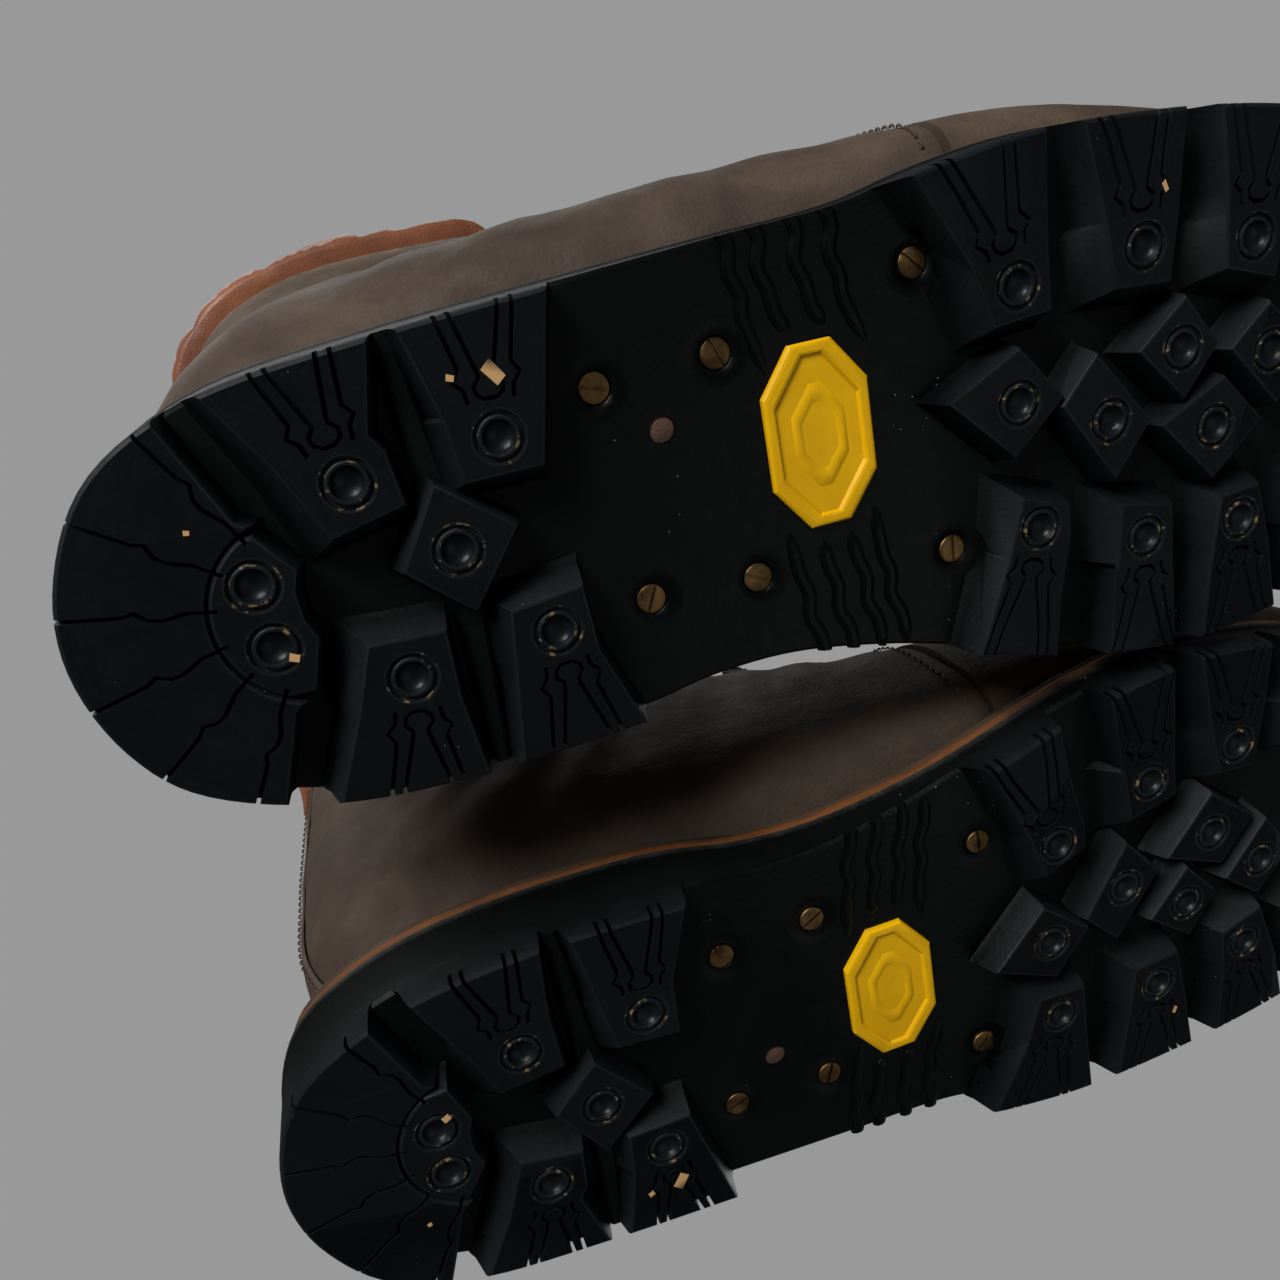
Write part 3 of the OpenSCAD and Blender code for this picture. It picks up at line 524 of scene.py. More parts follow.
MIDDLE_LUGS = [
    [[[66, -18], [79, -7], [68, 7], [57, -3.5]], [67.4, -5.2]],
    [[[181.5, -16.6], [191, -5], [179, 5], [165, -9]], [180.5, -5.9]],
    [[[198.6, -12], [211, 4], [202, 15], [190, -3]], [201.2, 2.2]],
    [[[219.6, -19], [227.5, -8], [219, 2], [208, -10]], [218.6, -8.7]],
    [[[229, -1], [238.5, 10], [226, 20.5], [213, 6]], [226.3, 9]],
    [[[240, -14], [250, -3], [242, 8], [230, -6]], [240.5, -3.8]]]
REAR_C, TOE_C, ROUND_R = (40.5, -1.5), (272.0, 1.0), 17.0
PAD_BOWLS = [[32.6, -7.9], [32.8, 3.6], [279.6, -5], [279.6, 6.6]]
BOWLS = [lug[1] for lug in OUTER_LUGS + INNER_LUGS + MIDDLE_LUGS] + PAD_BOWLS
SCREWS = [[98.9, -26.2], [122.8, -27.4], [164.6, -35.7], [101.9, 15.8], [124.4, 17.4], [167.8, 22.7]]
BADGE_C = (141.0, -8.0)
PLUG_C = (110.0, -16.0)
BADGE_L, BADGE_W = 35.8, 22.0
BADGE_CORNER_W, BADGE_CORNER_L = 6.7, 8.8        # how much each corner takes off the two sides
PAST_EDGE = 60.0                                 # a y that lies outside the sole on either side
SIPE_DEPTH, RADIAL_DEPTH, SIPE_W, RADIAL_W = 3.6, 3.4, 0.85, 0.8
BELOW = -2                                       # where cuts into the tread begin, under the ground
RIB_HALF, RIB_H = 1.7, 1.1


def lug_solid(loop, flare):
    """A lug from its tread outline: worn edge at the ground, flared flanks where it meets the base."""
    def ring(z, amounts):
        return flat(grown(loop, amounts), z)

    return stacked([ring(0.0, -0.7), ring(0.14, -0.3), ring(0.6, 0.0),
                    ring(6.2, lambda n, m: 0.75 * flare(n, m)), ring(LUG, lambda n, m: flare(n, m) + 0.3),
                    ring(LUG + 1.5, lambda n, m: flare(n, m) + 1)])


def side_lug(lug):
    """A side lug: its rear flank is steep beside the sipes and spreads into a buttress beside the bowl."""
    loop, c = lug
    out = -1 if c[1] < 0 else 1
    step = c[1] + out * 5.0
    points = []
    for i, p in enumerate(loop):
        q = loop[(i + 1) % len(loop)]
        points.append(p)
        if (p[1] - step) * (q[1] - step) < 0 and min(p[0], q[0]) < c[0] - 2:
            for y in (step - 0.5, step + 0.5) if q[1] > p[1] else (step + 0.5, step - 0.5):
                t = (y - p[1]) / (q[1] - p[1])
                points.append([p[0] + t * (q[0] - p[0]), y])

    def flare(n, m):
        spread = 2.9 if abs(m[1] - step) < 0.51 else 4.6 if (step - m[1]) * out > 0 else 1.3
        return 0.8 + spread * max(0.0, -n[0]) + 2.4 * max(0.0, -n[1] * out)

    return lug_solid(points, flare)


def middle_flare(n, m):
    return 0.8 + max(0.0, -n[0])


def strip(path, width):
    """A band of constant width along a flat path, as an outline."""
    p = np.asarray(path, float)
    t = np.gradient(p, axis=0)
    t = np.array([unit(v) for v in t])
    n = np.column_stack([-t[:, 1], t[:, 0]])
    return np.vstack([p + n * width / 2, (p - n * width / 2)[::-1]])


def prism(loop, z0, z1):
    return stacked([flat(loop, z0), flat(loop, z1)])


def bottle_sipes(lug):
    """The pair of outer cuts and the bottle-shaped inner cut of a side lug. Their points are (out, across)
    from its bowl."""
    loop, c = (np.array(part, float) for part in lug)
    out = -1 if c[1] < 0 else 1
    on_edge = (loop[0] + loop[-1]) / 2
    u = unit(on_edge - c)
    if abs(u[0]) > 0.5:
        u = unit(np.array([0.5 * np.sign(u[0]), out]))
    v = np.array([-u[1], u[0]])
    far_out = abs((PAST_EDGE * out - c[1]) / u[1])
    inner = [(far_out, 7.6), (22, 4.4), (11.4, 1.5), (10.4, 1.35), (9.0, 2.6), (7.6, 2.3), (6.7, 1.1)]
    inner += [(a, -b) for a, b in inner[::-1]]
    outer = [(far_out, 10.0), (21, 6.6), (12.2, 4.6), (10.2, 5.9), (8.6, 4.4), (6.2, 4.0)]
    paths = [inner, outer, [(a, -b) for a, b in outer]]
    return [prism(strip([c + a * u + b * v for a, b in p], SIPE_W), BELOW, SIPE_DEPTH) for p in paths]


def radial_sipe(c, angle, direction):
    """A cut that runs outwards across the rim, crooked at first."""
    d = np.array([direction * math.cos(angle), math.sin(angle)])
    n = np.array([-d[1], d[0]])
    path = [(ROUND_R - 2, 0.4), (ROUND_R + 3, 0.5), (ROUND_R + 7, -0.6), (ROUND_R + 9, -0.4),
            (ROUND_R + 11, 1.0), (ROUND_R + 13, 0.3), (ROUND_R + 46, 0.0)]
    return prism(strip([np.array(c) + a * d + b * n for a, b in path], RADIAL_W), BELOW, RADIAL_DEPTH)


def bowl_cutter(c):
    """Ring groove round a raised lip and a glossy bowl."""
    profile = [(0, BELOW), (5.2, BELOW), (5.2, -0.02), (4.65, 0.06), (4.45, 0.9), (4.0, 0.9), (3.8, 0.2),
               (3.5, 0.02), (3.1, 0.06)]
    profile += [(2.9 * math.cos(a), 0.2 + 1.7 * math.sin(a)) for a in np.radians([6, 18, 32, 47, 62, 76])]
    profile += [(0, 1.9)]
    return lathe(profile, 40, (c[0], c[1], 0))


def octagon(grow):
    a, b = BADGE_W / 2 + grow, BADGE_L / 2 + grow
    quarter = [[a, b - BADGE_CORNER_L], [a - BADGE_CORNER_W, b]]
    half = quarter + [[-x, y] for x, y in quarter[::-1]]
    return np.array([[-x, -y] for x, y in half] + half) + BADGE_C


def arc(c, r, a0, a1, steps):
    return [[c[0] + r * math.cos(math.radians(a)), c[1] + r * math.sin(math.radians(a))]
            for a in np.linspace(a0, a1, steps)]


def rim_loop(c, direction):
    """The rim round the heel (direction -1) or the toe (1): a tapering front edge and a round inner edge."""
    front = [(-18.5, -PAST_EDGE), (-14.8, -36.2), (-7.5, -17.7)]
    back = [(-70, PAST_EDGE), (-70, -PAST_EDGE)]
    local = front + arc((0, 0), ROUND_R, -108, -252, 25) + [(x, -y) for x, y in front[::-1]] + back
    return np.array([[c[0] - direction * x, c[1] + y] for x, y in local])


def pad_loop(c, direction):
    """The crescent pad inside the round groove."""
    front = [(-5.4, -14.8), (0.0, -7.2), (-1.4, -3.5), (-1.3, 1.5), (0.1, 5.4), (-3.1, 14.7)]
    back = arc((0, 0), 16.6, 112, 248, 20)[1:-1]
    return np.array([[c[0] - direction * x, c[1] + y] for x, y in front + back])


# Where the wavy ridges beside the badge run: x at the edge, at two places on the way, and at the inner end
OUTER_RIBS = [[126.5, 128.5, 129.5, 132], [132.5, 134, 136, 137.5], [140, 141.5, 143.5, 145],
              [147, 148.5, 150, 153]]
OUTER_RIB_END = [-21.5, -28.5, -28.5, -23.5]
INNER_RIBS = [[136.5, 135, 133.5, 132], [143, 141.5, 140, 139], [149.5, 148, 146.5, 145],
              [155, 153.5, 152, 151]]
INNER_RIB_END = [10, 13.5, 13, 9]


def rib_tube(path):
    """A low wavy ridge that stands out of the base, flattened across and tapered at both ends."""
    p = smooth_path(path, 6)
    t = np.array([unit(v) for v in np.gradient(p, axis=0)])
    n = np.column_stack([-t[:, 1], t[:, 0]])
    m = 10
    rings = []
    for i, q in enumerate(p):
        taper = min(1.0, 0.35 + 0.22 * min(i, len(p) - 1 - i))
        half, height = RIB_HALF * taper, RIB_H * taper
        rings.append(np.array([[*(q + n[i] * half * math.cos(a)), LUG + 0.3 - height * math.sin(a)]
                               for a in [2 * math.pi * k / m for k in range(m)]]))
    return stacked(rings)


def ribs():
    paths = [[[x0, -50], [x0 + 1.6, -45.5], [x1 - 1.0, -41], [x1 + 0.6, -36.5], [x2 - 0.6, -32], [x3, end]]
             for (x0, x1, x2, x3), end in zip(OUTER_RIBS, OUTER_RIB_END)]
    paths += [[[x0, 40], [x1 + 1.0, 33.5], [x1 - 1.0, 28.5], [x2 + 1.0, 23.5], [x2 - 0.4, 19], [x3, end]]
              for (x0, x1, x2, x3), end in zip(INNER_RIBS, INNER_RIB_END)]
    return [rib_tube(path) for path in paths]


# Wood and grit caught in the tread: centre, half length, half width, turn
CHIPS = [[80.5, -33.6, 2.1, 1.2, 1.0], [73.2, -34.1, 0.7, 0.55, 0.4], [35.4, 6.2, 0.9, 0.7, 0.5],
         [25.3, -19.2, 0.5, 0.4, 0.3], [214.7, -40.1, 1.0, 0.45, 1.2]]


def chip(x, y, a, b, turn):
    """A splinter wedged into the tread, standing a little out of it."""
    c, s = math.cos(turn), math.sin(turn)
    corners = ((-a, -b), (a * 0.9, -b), (a, b * 0.8), (-a * 0.8, b))
    loop = [[x + u * c - v * s, y + u * s + v * c] for u, v in corners]
    return stacked([flat(loop, -0.12), flat(grown(loop, 0.12), 0.1), flat(loop, 3.9)])


# The thin webs that tie neighbouring lugs together at the heel's breast
WEBS = [[[62.5, -44], [64.3, -60], [65.8, -44], [69, -15], [64, -15]],
        [[65, 4], [70, 4], [67.6, 38], [66, 60], [64.6, 38]]]
SCREW_RECESS = [(0, 5), (6.4, 5), (6.4, 7.49), (5.0, 7.62), (3.5, 8.0), (3.2, 8.3), (3.2, 9.6), (1.7, 9.6),
                (1.7, 60), (0, 60)]
PLUG_RECESS = [(0, 6), (2.7, 6), (2.6, 8.4), (0, 8.4)]


def sole_base():
    """The outsole without its tread: rounded below, stepped in along the top of the sidewall."""
    top = stack(SOLE[:, 0])
    rings = [(0.9, LUG), (0.1, LUG + 0.9), (0.0, LUG + 2), (0.0, top - 3.4), (-0.25, top - 2.9),
             (-0.25, top - 0.6), (0.5, top)]
    return stacked([np.column_stack([inset(SOLE, d), np.zeros(len(SOLE)) + z]) for d, z in rings])


def tread_blocks():
    blocks = [side_lug(lug) for lug in OUTER_LUGS + INNER_LUGS]
    blocks += [lug_solid(lug[0], middle_flare) for lug in MIDDLE_LUGS]
    for c, direction in ((REAR_C, -1), (TOE_C, 1)):
        blocks.append(lug_solid(rim_loop(c, direction), lambda n, m: 0.5))
        blocks.append(lug_solid(pad_loop(c, direction), lambda n, m: 0.8))
    blocks += [stacked([flat(grown(web, -0.8), 4.4), flat(grown(web, -0.2), 4.8), flat(grown(web, 1.6), 9)])
               for web in WEBS]
    return blocks + ribs()


def tread_cutters():
    cutters = [cut for lug in OUTER_LUGS + INNER_LUGS for cut in bottle_sipes(lug)]
    for c, direction, first in ((REAR_C, -1, -62), (TOE_C, 1, -60)):
        cutters += [radial_sipe(c, math.radians(a), direction) for a in (first, -36, -12, 12, 36, 60)]
    cutters += [bowl_cutter(c) for c in BOWLS]
    cutters += [lathe(SCREW_RECESS, 32, (*c, 0)) for c in SCREWS]
    cutters.append(lathe(PLUG_RECESS, 24, (*PLUG_C, 0)))
    cutters.append(stacked([flat(octagon(0.8), 6.0), flat(octagon(0.15), 8.0), flat(octagon(0.15), 9.8)]))
    return cutters


def build_outsole():
    """Lugs trimmed to the sole's outline, joined to the base, then cut, and the toe bent up last."""
    trim = ((1.6, -0.7), (0.9, 0.0), (0.35, 0.3), (0.05, 1.0), (0.0, 9.2))
    lugs = solid("lugs", tread_blocks())
    boolean(lugs, solid("zone", [stacked([flat(inset(SOLE, d), z) for d, z in trim])]), "INTERSECT")
    outsole = solid("outsole", [sole_base()])
    boolean(outsole, lugs, "UNION")
    boolean(outsole, solid("cutters", tread_cutters()), "DIFFERENCE")
    boolean(outsole, solid("chips", [chip(*c) for c in CHIPS]), "UNION")
    me = outsole.data
    bpy.data.objects.remove(outsole)
    bend_toe(me)
    paint_outsole(me)
    return me


STATIONS = [SPRING_X + k * 3.5 for k in range(1, 22)]


def bend_toe(me):
    """Lifts the toe: the mesh is cut across at close stations and each strip turned up a little more."""
    bm = bmesh.new()
    bm.from_mesh(me)
    for x in [BREAST_X, BALL_X, SPRING_X] + STATIONS:
        everything = bm.verts[:] + bm.edges[:] + bm.faces[:]
        bmesh.ops.bisect_plane(bm, geom=everything, plane_co=(x, 0, 0), plane_no=(1, 0, 0), dist=0.001)
    xs = [-10, SPRING_X] + STATIONS
    zs = [0.0, 0.0] + [float(spring(x)) for x in STATIONS]
    for v in bm.verts:
        v.co.z += float(np.interp(v.co.x, xs, zs))
    bm.to_mesh(me)
    bm.free()


def paint_outsole(me):
    """Dust on the upper sidewall, chips, grit in the ring grooves, glossy bowls, painted shade that blackens
    the recesses, and the polished waist."""
    co = coords(me)
    ground = spring(co[:, 0])
    up = np.clip((co[:, 2] - (sole_top(co[:, 0]) - 2.8)) / 1.6, 0, 1)
    paint(me, "wear", 0.35 * up)
    near = [np.hypot(co[:, 0] - x, co[:, 1] - y) < a + 0.3 for x, y, a, _, _ in CHIPS]
    paint(me, "chip", np.any(near, axis=0) & (co[:, 2] - ground < -0.05))
    away = np.min([np.hypot(co[:, 0] - x, co[:, 1] - y) for x, y in BOWLS], axis=0)
    paint(me, "rings", ((away > 3.4) & (away < 4.9)) * np.clip(1 - (co[:, 2] - ground) / 0.5, 0, 1))
    paint(me, "bowl", np.clip((3.05 - away) / 0.3, 0, 1) * (co[:, 2] - ground < 2.2))
    # painted shade in the recesses: 0 at the tread, 1 from 4.4 mm in, none on the sidewall's top; the look
    # also lowers the specular level there
    paint(me, "recess_shade", np.clip((co[:, 2] - ground - 0.9) / 3.5, 0, 1) * (1 - up))
    waist = np.clip((co[:, 0] - 94) / 8, 0, 1) * np.clip((172 - co[:, 0]) / 8, 0, 1)
    paint(me, "polish", waist * np.clip((9.0 - co[:, 2]) / 1.0, 0, 1))


# ---------------------------------------------------------------- badge, screws, plug
def build_badge():
    """A moulded plate with a narrow raised rim and, in its sunk field, a plain raised lozenge."""
    t0, top = LUG + 1.0 - 2.4, LUG + 1.0
    out = octagon(0)
    rings = [flat(out, top), flat(out, t0 + 0.5), flat(octagon(-0.35), t0 + 0.12), flat(octagon(-0.8), t0),
             flat(octagon(-1.7), t0), flat(octagon(-2.1), t0 + 0.15), flat(octagon(-2.5), t0 + 0.75)]
    c = np.array(BADGE_C)
    for s, z in ((0.66, 0.75), (0.6, 0.45), (0.5, 0.42), (0.42, 0.72), (0.2, 0.74)):
        rings.append(flat(c + (octagon(-2.5) - c) * s, t0 + z))
    return raw_mesh("badge", *stacked(rings))


SCREW_TURNS = [0.3, 1.2, 0.8, 2.0, 0.5, 1.6]
HEAD_RINGS = ((2.95, 1.2), (2.95, 0.35), (2.8, 0.12), (2.4, 0.0))      # radius, height above the head's face
HEAD_FACE = LUG + 0.35
SLOT_HALF_L, SLOT_HALF_W, SLOT_FLOOR = 4, 0.35, LUG + 0.95
SHANK_R = 1.6


def circle(c, r, steps):
    return np.array([[c[0] + r * math.cos(a), c[1] + r * math.sin(a)]
                     for a in np.linspace(0, 2 * math.pi, steps, endpoint=False)])


def screw_slot(c, turn):
    d, n = np.array([math.cos(turn), math.sin(turn)]), np.array([-math.sin(turn), math.cos(turn)])
    loop = [c + SLOT_HALF_L * i * d + SLOT_HALF_W * j * n for i, j in ((1, 1), (-1, 1), (-1, -1), (1, -1))]
    return prism(loop, LUG + BELOW, SLOT_FLOOR)


def build_screws():
    """Domed brass heads, each slotted at its own angle, on shanks that end in the midsole."""
    domes = [stacked([flat(circle(c, r, 44), HEAD_FACE + h) for r, h in HEAD_RINGS]) for c in SCREWS]
    heads = solid("screws", domes)
    slots = [screw_slot(np.array(c), turn) for c, turn in zip(SCREWS, SCREW_TURNS)]
    boolean(heads, solid("slots", slots), "DIFFERENCE")
    parts = [([tuple(p) for p in coords(heads.data)], [tuple(f.vertices) for f in heads.data.polygons])]
    bpy.data.objects.remove(heads)
    for x, y in SCREWS:
        end = float(stack(x)) + MIDSOLE_T - 1.2
        profile = [(0, LUG + 1.0), (SHANK_R, LUG + 1.0), (SHANK_R, end), (0, end + 0.8)]
        parts.append(lathe(profile, 16, (x, y, 0)))
    return closed_mesh("screws", *joined(parts))


def build_plug():
    """The worn end of a wooden peg in the waist."""
    profile = [(0, 7.75), (1.9, 7.7), (2.5, 7.95), (2.6, 8.5), (0, 8.5)]
    return raw_mesh("plug", *lathe(profile, 24, (*PLUG_C, 0)))


# ---------------------------------------------------------------- layers over the outsole
def layer_rings(loops_at):
    """(loop, height above the sole's top) pairs as rings that follow the side profile."""
    return [np.column_stack([l, sole_top(l[:, 0]) + h]) for l, h in loops_at]


def layer_mesh(loops_at):
    """A closed band from such pairs, its last ring joined to its first."""
    rings = layer_rings(loops_at)
    return [tuple(p) for r in rings for p in r], ring_faces(len(rings), len(rings[0]), closed=True)


def capped_layer(loops_at, cap_steps=7):
    """A closed slab from such pairs; strips across the sole close its ends, so it follows a bent profile."""
    centre = np.column_stack([loops_at[0][0][:, 0], np.full(len(loops_at[0][0]), -1.0)])

    def shrink(loop, h):
        pairs = []
        for s in np.linspace(0.9, 0.02, cap_steps):
            l = centre * (1 - s) + loop * s
            l[:, 0] = np.clip(l[:, 0], loop[:, 0].min() + 0.1, loop[:, 0].max() - 0.1)
            pairs.append((l, h))
        return layer_rings(pairs)

    return stacked(shrink(*loops_at[0])[::-1] + layer_rings(loops_at) + shrink(*loops_at[-1]))


def wobble(loop, amount, scale, seed):
    return np.array([amount * noise.noise(Vector((x / scale, y / scale, seed))) for x, y in loop])


def build_midsole():
    edge = wobble(SOLE, 0.35, 9, 3.1)
    profile = [(1.0, 0.0), (0.35 + edge, 0.35), (0.25 + edge, MIDSOLE_T * 0.5),
               (0.4 + edge, MIDSOLE_T - 0.35), (1.0, MIDSOLE_T)]
    return closed_mesh("midsole", *capped_layer([(inset(SOLE, d), h) for d, h in profile]))


def build_welt():
    """A leather band with a sunk channel for its stitches."""
    edge = wobble(SOLE, 0.4, 7, 8.7)
    a, b = MIDSOLE_T, WELT_TOP
    profile = [(11.0, a), (1.5, a), (0.9 + edge, a + 0.4), (0.9 + edge, b - 0.5), (1.5 + edge, b),
               (3.2, b + 0.05), (4.0, b - 0.25), (4.8, b + 0.05), (11.0, b)]
    return closed_mesh("welt", *layer_mesh([(inset(SOLE, d), h) for d, h in profile]))


def stitch(p, q, up, r=0.42):
    """One stitch from p to q: a short rounded thread, highest in the middle."""
    p, q, up = np.asarray(p, float), np.asarray(q, float), unit(up)
    d = unit(q - p)
    side = unit(np.cross(d, up))
    up = np.cross(side, d)
    rings = []
    half = [(0.0, 0.35, -0.25), (0.12, 0.85, 0.1), (0.35, 1.0, 0.3)]       # place along, thickness, height
    for t, s, h in half + [(1 - t, s, h) for t, s, h in half[::-1]]:
        c = p + (q - p) * t + up * h
        rings.append(np.array([c + r * s * (math.cos(a) * side + math.sin(a) * up)
                               for a in np.linspace(0, 2 * math.pi, 7, endpoint=False)]))
    return stacked(rings)


def stitch_row(points, normals, pitch=3.2, fill=0.72, r=0.42):
    """Stitches along a path with a surface normal at each of its points."""
    both = np.column_stack([points, normals])
    seg = np.linalg.norm(np.diff(both[:, :3], axis=0), axis=1)
    s = np.concatenate([[0], np.cumsum(seg)])

    def at(x):
        return np.array([np.interp(x, s, both[:, k]) for k in range(6)])

    out = []
    for i in range(int(s[-1] / pitch)):
        a, b = at(i * pitch), at(i * pitch + pitch * fill)
        out.append(stitch(a[:3], b[:3], a[3:] + b[3:], r))
    return out


def build_welt_stitching():
    loop = inset(SOLE, 4.0)
    loop = resample(np.vstack([loop, loop[:1]]), 2.0)
    pts = np.column_stack([loop, sole_top(loop[:, 0]) + WELT_TOP - 0.05])
    return raw_mesh("stitches", *joined(stitch_row(pts, np.tile([0, 0, 1.0], (len(pts), 1)), 5.2, 0.74, 0.6)))


# ---------------------------------------------------------------- the last
def seat(x):
    return float(sole_top(x)) + WELT_TOP + 0.8


# Sections from the toe to the rim. Each is a slanted slice of the upper: its top (x, z) and bottom (x, z),
# its width to the outer and the inner side, where between bottom and top it is widest, and how square its
# lower and its upper half are. A bottom height of 0 stands for the foot's seat.
SECTIONS = np.array([[r[0], r[1], r[2], seat(r[2]) if r[3] == 0 else r[3], *r[4:]] for r in [
    [308, 38, 308, 0, 10, 10, 0.45, 0.42, 0.7], [303, 52, 303, 0, 25, 23, 0.4, 0.4, 0.75],
    [291, 62, 291, 0, 36.5, 36, 0.38, 0.4, 0.8], [271, 68, 271, 0, 46.5, 46, 0.36, 0.38, 0.85],
    [247, 73, 247, 0, 53, 52, 0.36, 0.38, 0.9], [222, 79, 222, 0, 58, 54, 0.36, 0.38, 0.95],
    [198, 90, 198, 0, 61, 53.5, 0.36, 0.38, 0.95], [176, 104, 172, 0, 61, 51, 0.38, 0.38, 0.95],
    [156, 119, 130, 0, 60, 48, 0.42, 0.4, 0.9], [140, 132, 90, 0, 58.5, 46, 0.47, 0.42, 0.84],
    [128, 143, 60, 0, 56.5, 45, 0.55, 0.5, 0.78], [121, 151, 22, 33, 54, 44, 0.61, 0.58, 0.74],
    [118, 156, 8, 56, 52.5, 44, 0.66, 0.7, 0.7], [117, 161, 6, 90, 52.5, 45, 0.7, 0.72, 0.68],
    [116, 166, 7, 125, 55, 46, 0.75, 0.68, 0.65], [116, 171, 9, 160, 60.5, 47, 0.8, 0.6, 0.62],
    [117, 188, 8, 180, 60.5, 47, 0.8, 0.6, 0.62]]])
THROAT_U, TOP_U, LAST_U = 6.6, 15.0, 16
SEAM_GAP = 0.03                              # half the gap between vamp and quarters, in sections
VAMP_END, QUARTERS_START = THROAT_U - SEAM_GAP, THROAT_U + SEAM_GAP
LEATHER_T, LINING_D, INSIDE_D = 2.4, 3.7, 4.9
BACKSTAY_V = 1 / 12                          # half the backstay's width, as a share of the way to the throat
PLAIN_WEAR = 0.15
EASE = 0.18                                  # how far a cut edge is drawn in, as a share of its thickness


def skin(u, a, d):
    """A point of the last: section u, angle a in degrees from the bottom round the outer side, depth d."""
    r = along(SECTIONS, u)
    t, b = r[0:2], r[2:4]
    way = unit(b - t)
    t2, b2 = t + d * way, b - d * way
    c, s = math.cos(math.radians(a)), math.sin(math.radians(a))
    e = r[7] if c > 0 else r[8]
    f = r[6] * (1 - c ** e) if c > 0 else r[6] + (1 - r[6]) * (-c) ** e
    w = (r[4] if s > 0 else r[5]) - d
    p = b2 + (t2 - b2) * f
    return np.array([p[0], -np.sign(s) * w * abs(s) ** e, p[1]])


def throat(u):
    """Half the opening's width at a section."""
    return 17 + 8 * (u - THROAT_U) / (TOP_U - THROAT_U)


def angle_at(u, half, outer):
    """The angle at which a section is as wide as half, on its upper side."""
    r = along(SECTIONS, u)
    return 180 - math.degrees(math.asin(min(1.0, (half / (r[4] if outer else r[5])) ** (1 / r[8]))))


def facing(u, v):
    """The angle for v from -1 at the inner facing, round the heel, to 1 at the outer one."""
    return v * angle_at(u, throat(u), v > 0)


def grid_normals(g):
    n = np.cross(np.gradient(g, axis=0), np.gradient(g, axis=1))
    return n / (np.linalg.norm(n, axis=2)[..., None] + 1e-9)


def fractal(p, scale, octaves=3, seed=0.0):
    return noise.fractal(Vector((p[0] / scale + seed, p[1] / scale, p[2] / scale)), 0.7, 2.0, octaves)


def slab(outer, inner):
    """A closed sheet between two grids of points, its cut edges eased."""
    n, m = outer.shape[:2]
    outer, inner = outer.copy(), inner.copy()
    for g, h in ((outer, inner), (inner, outer)):
        for edge in (np.s_[0], np.s_[-1], np.s_[:, 0], np.s_[:, -1]):
            g[edge] += EASE * (h[edge] - g[edge])
    k = n * m
    faces = ring_faces(n, m, wrap=False) + ring_faces(n, m, first=k, flip=True, wrap=False)
    rim = list(range(m)) + [i * m + m - 1 for i in range(1, n)]
    rim += [(n - 1) * m + j for j in range(m - 2, -1, -1)] + [i * m for i in range(n - 2, 0, -1)]
    faces += [(a, k + a, k + b, b) for a, b in zip(rim, rim[1:] + rim[:1])]
    return closed_mesh("slab", np.vstack([outer.reshape(-1, 3), inner.reshape(-1, 3)]), faces)


def leather_sheet(us, vs, d0, d1, angle, relief=None):
    """A sheet's outer and inner grids at depths d0 and d1, relief standing out of the outer one."""
    out, inn = (np.array([[skin(u, angle(u, v), d) for v in vs] for u in us]) for d in (d0, d1))
    if relief:
        n = grid_normals(out)
        if ((out - out.mean(axis=(0, 1))) * n).sum() < 0:
            n = -n
        h = np.array([[relief(u, v, out[i, j]) for j, v in enumerate(vs)] for i, u in enumerate(us)])
        out = out + n * h[..., None]
    return out, inn


def smooth_bump(x, centre, width):
    return math.exp(-((x - centre) / width) ** 2)


def quarter_relief(u, v, p):
    """Soft creases round the ankle, the heel counter's edge, and a general unevenness."""
    h = 0.45 * fractal(p, 34, 3) + 0.14 * fractal(p, 9, 2, 5.0)
    ankle = smooth_bump(u, 10.3, 1.5) * (0.25 + 0.75 * smooth_bump(abs(v), 0.62, 0.22))
    h += 0.75 * ankle * math.sin(7.5 * u + 3.0 * v + 1.6 * fractal(p, 40, 2, 9.0))
    flex = smooth_bump(u, 7.6, 0.9) * smooth_bump(abs(v), 0.72, 0.25)
    h += 0.55 * flex * math.sin(11 * u + 1.2 * fractal(p, 26, 2, 2.0))
    near_rim = min(1.0, (1 - abs(v)) / 0.04)
    return h * (0.35 + 0.65 * near_rim)


def vamp_relief(u, a, p):
    """The creases over the toes' joint, and a general unevenness."""
    h = 0.4 * fractal(p, 36, 3, 3.0) + 0.12 * fractal(p, 9, 2, 7.0)
    over = max(0.0, -math.cos(math.radians(a)))
    flex = smooth_bump(u, 5.35, 0.75) * over ** 0.7
    h += 0.85 * flex * math.sin(12.5 * u + 1.5 * fractal(p, 30, 2, 4.0))
    return h


def build_quarters():
    us = np.linspace(QUARTERS_START, TOP_U, 96)
    vs = np.linspace(-1, 1, 121)
    me = slab(*leather_sheet(us, vs, 0, LEATHER_T, facing, quarter_relief))
    wear = [min(1.0, 0.7 * smooth_bump(u, TOP_U, 0.35) + 0.5 * smooth_bump(abs(v), 1.0, 0.018))
            for u in us for v in vs]
    paint(me, "wear", wear + [PLAIN_WEAR] * len(wear))
    return me


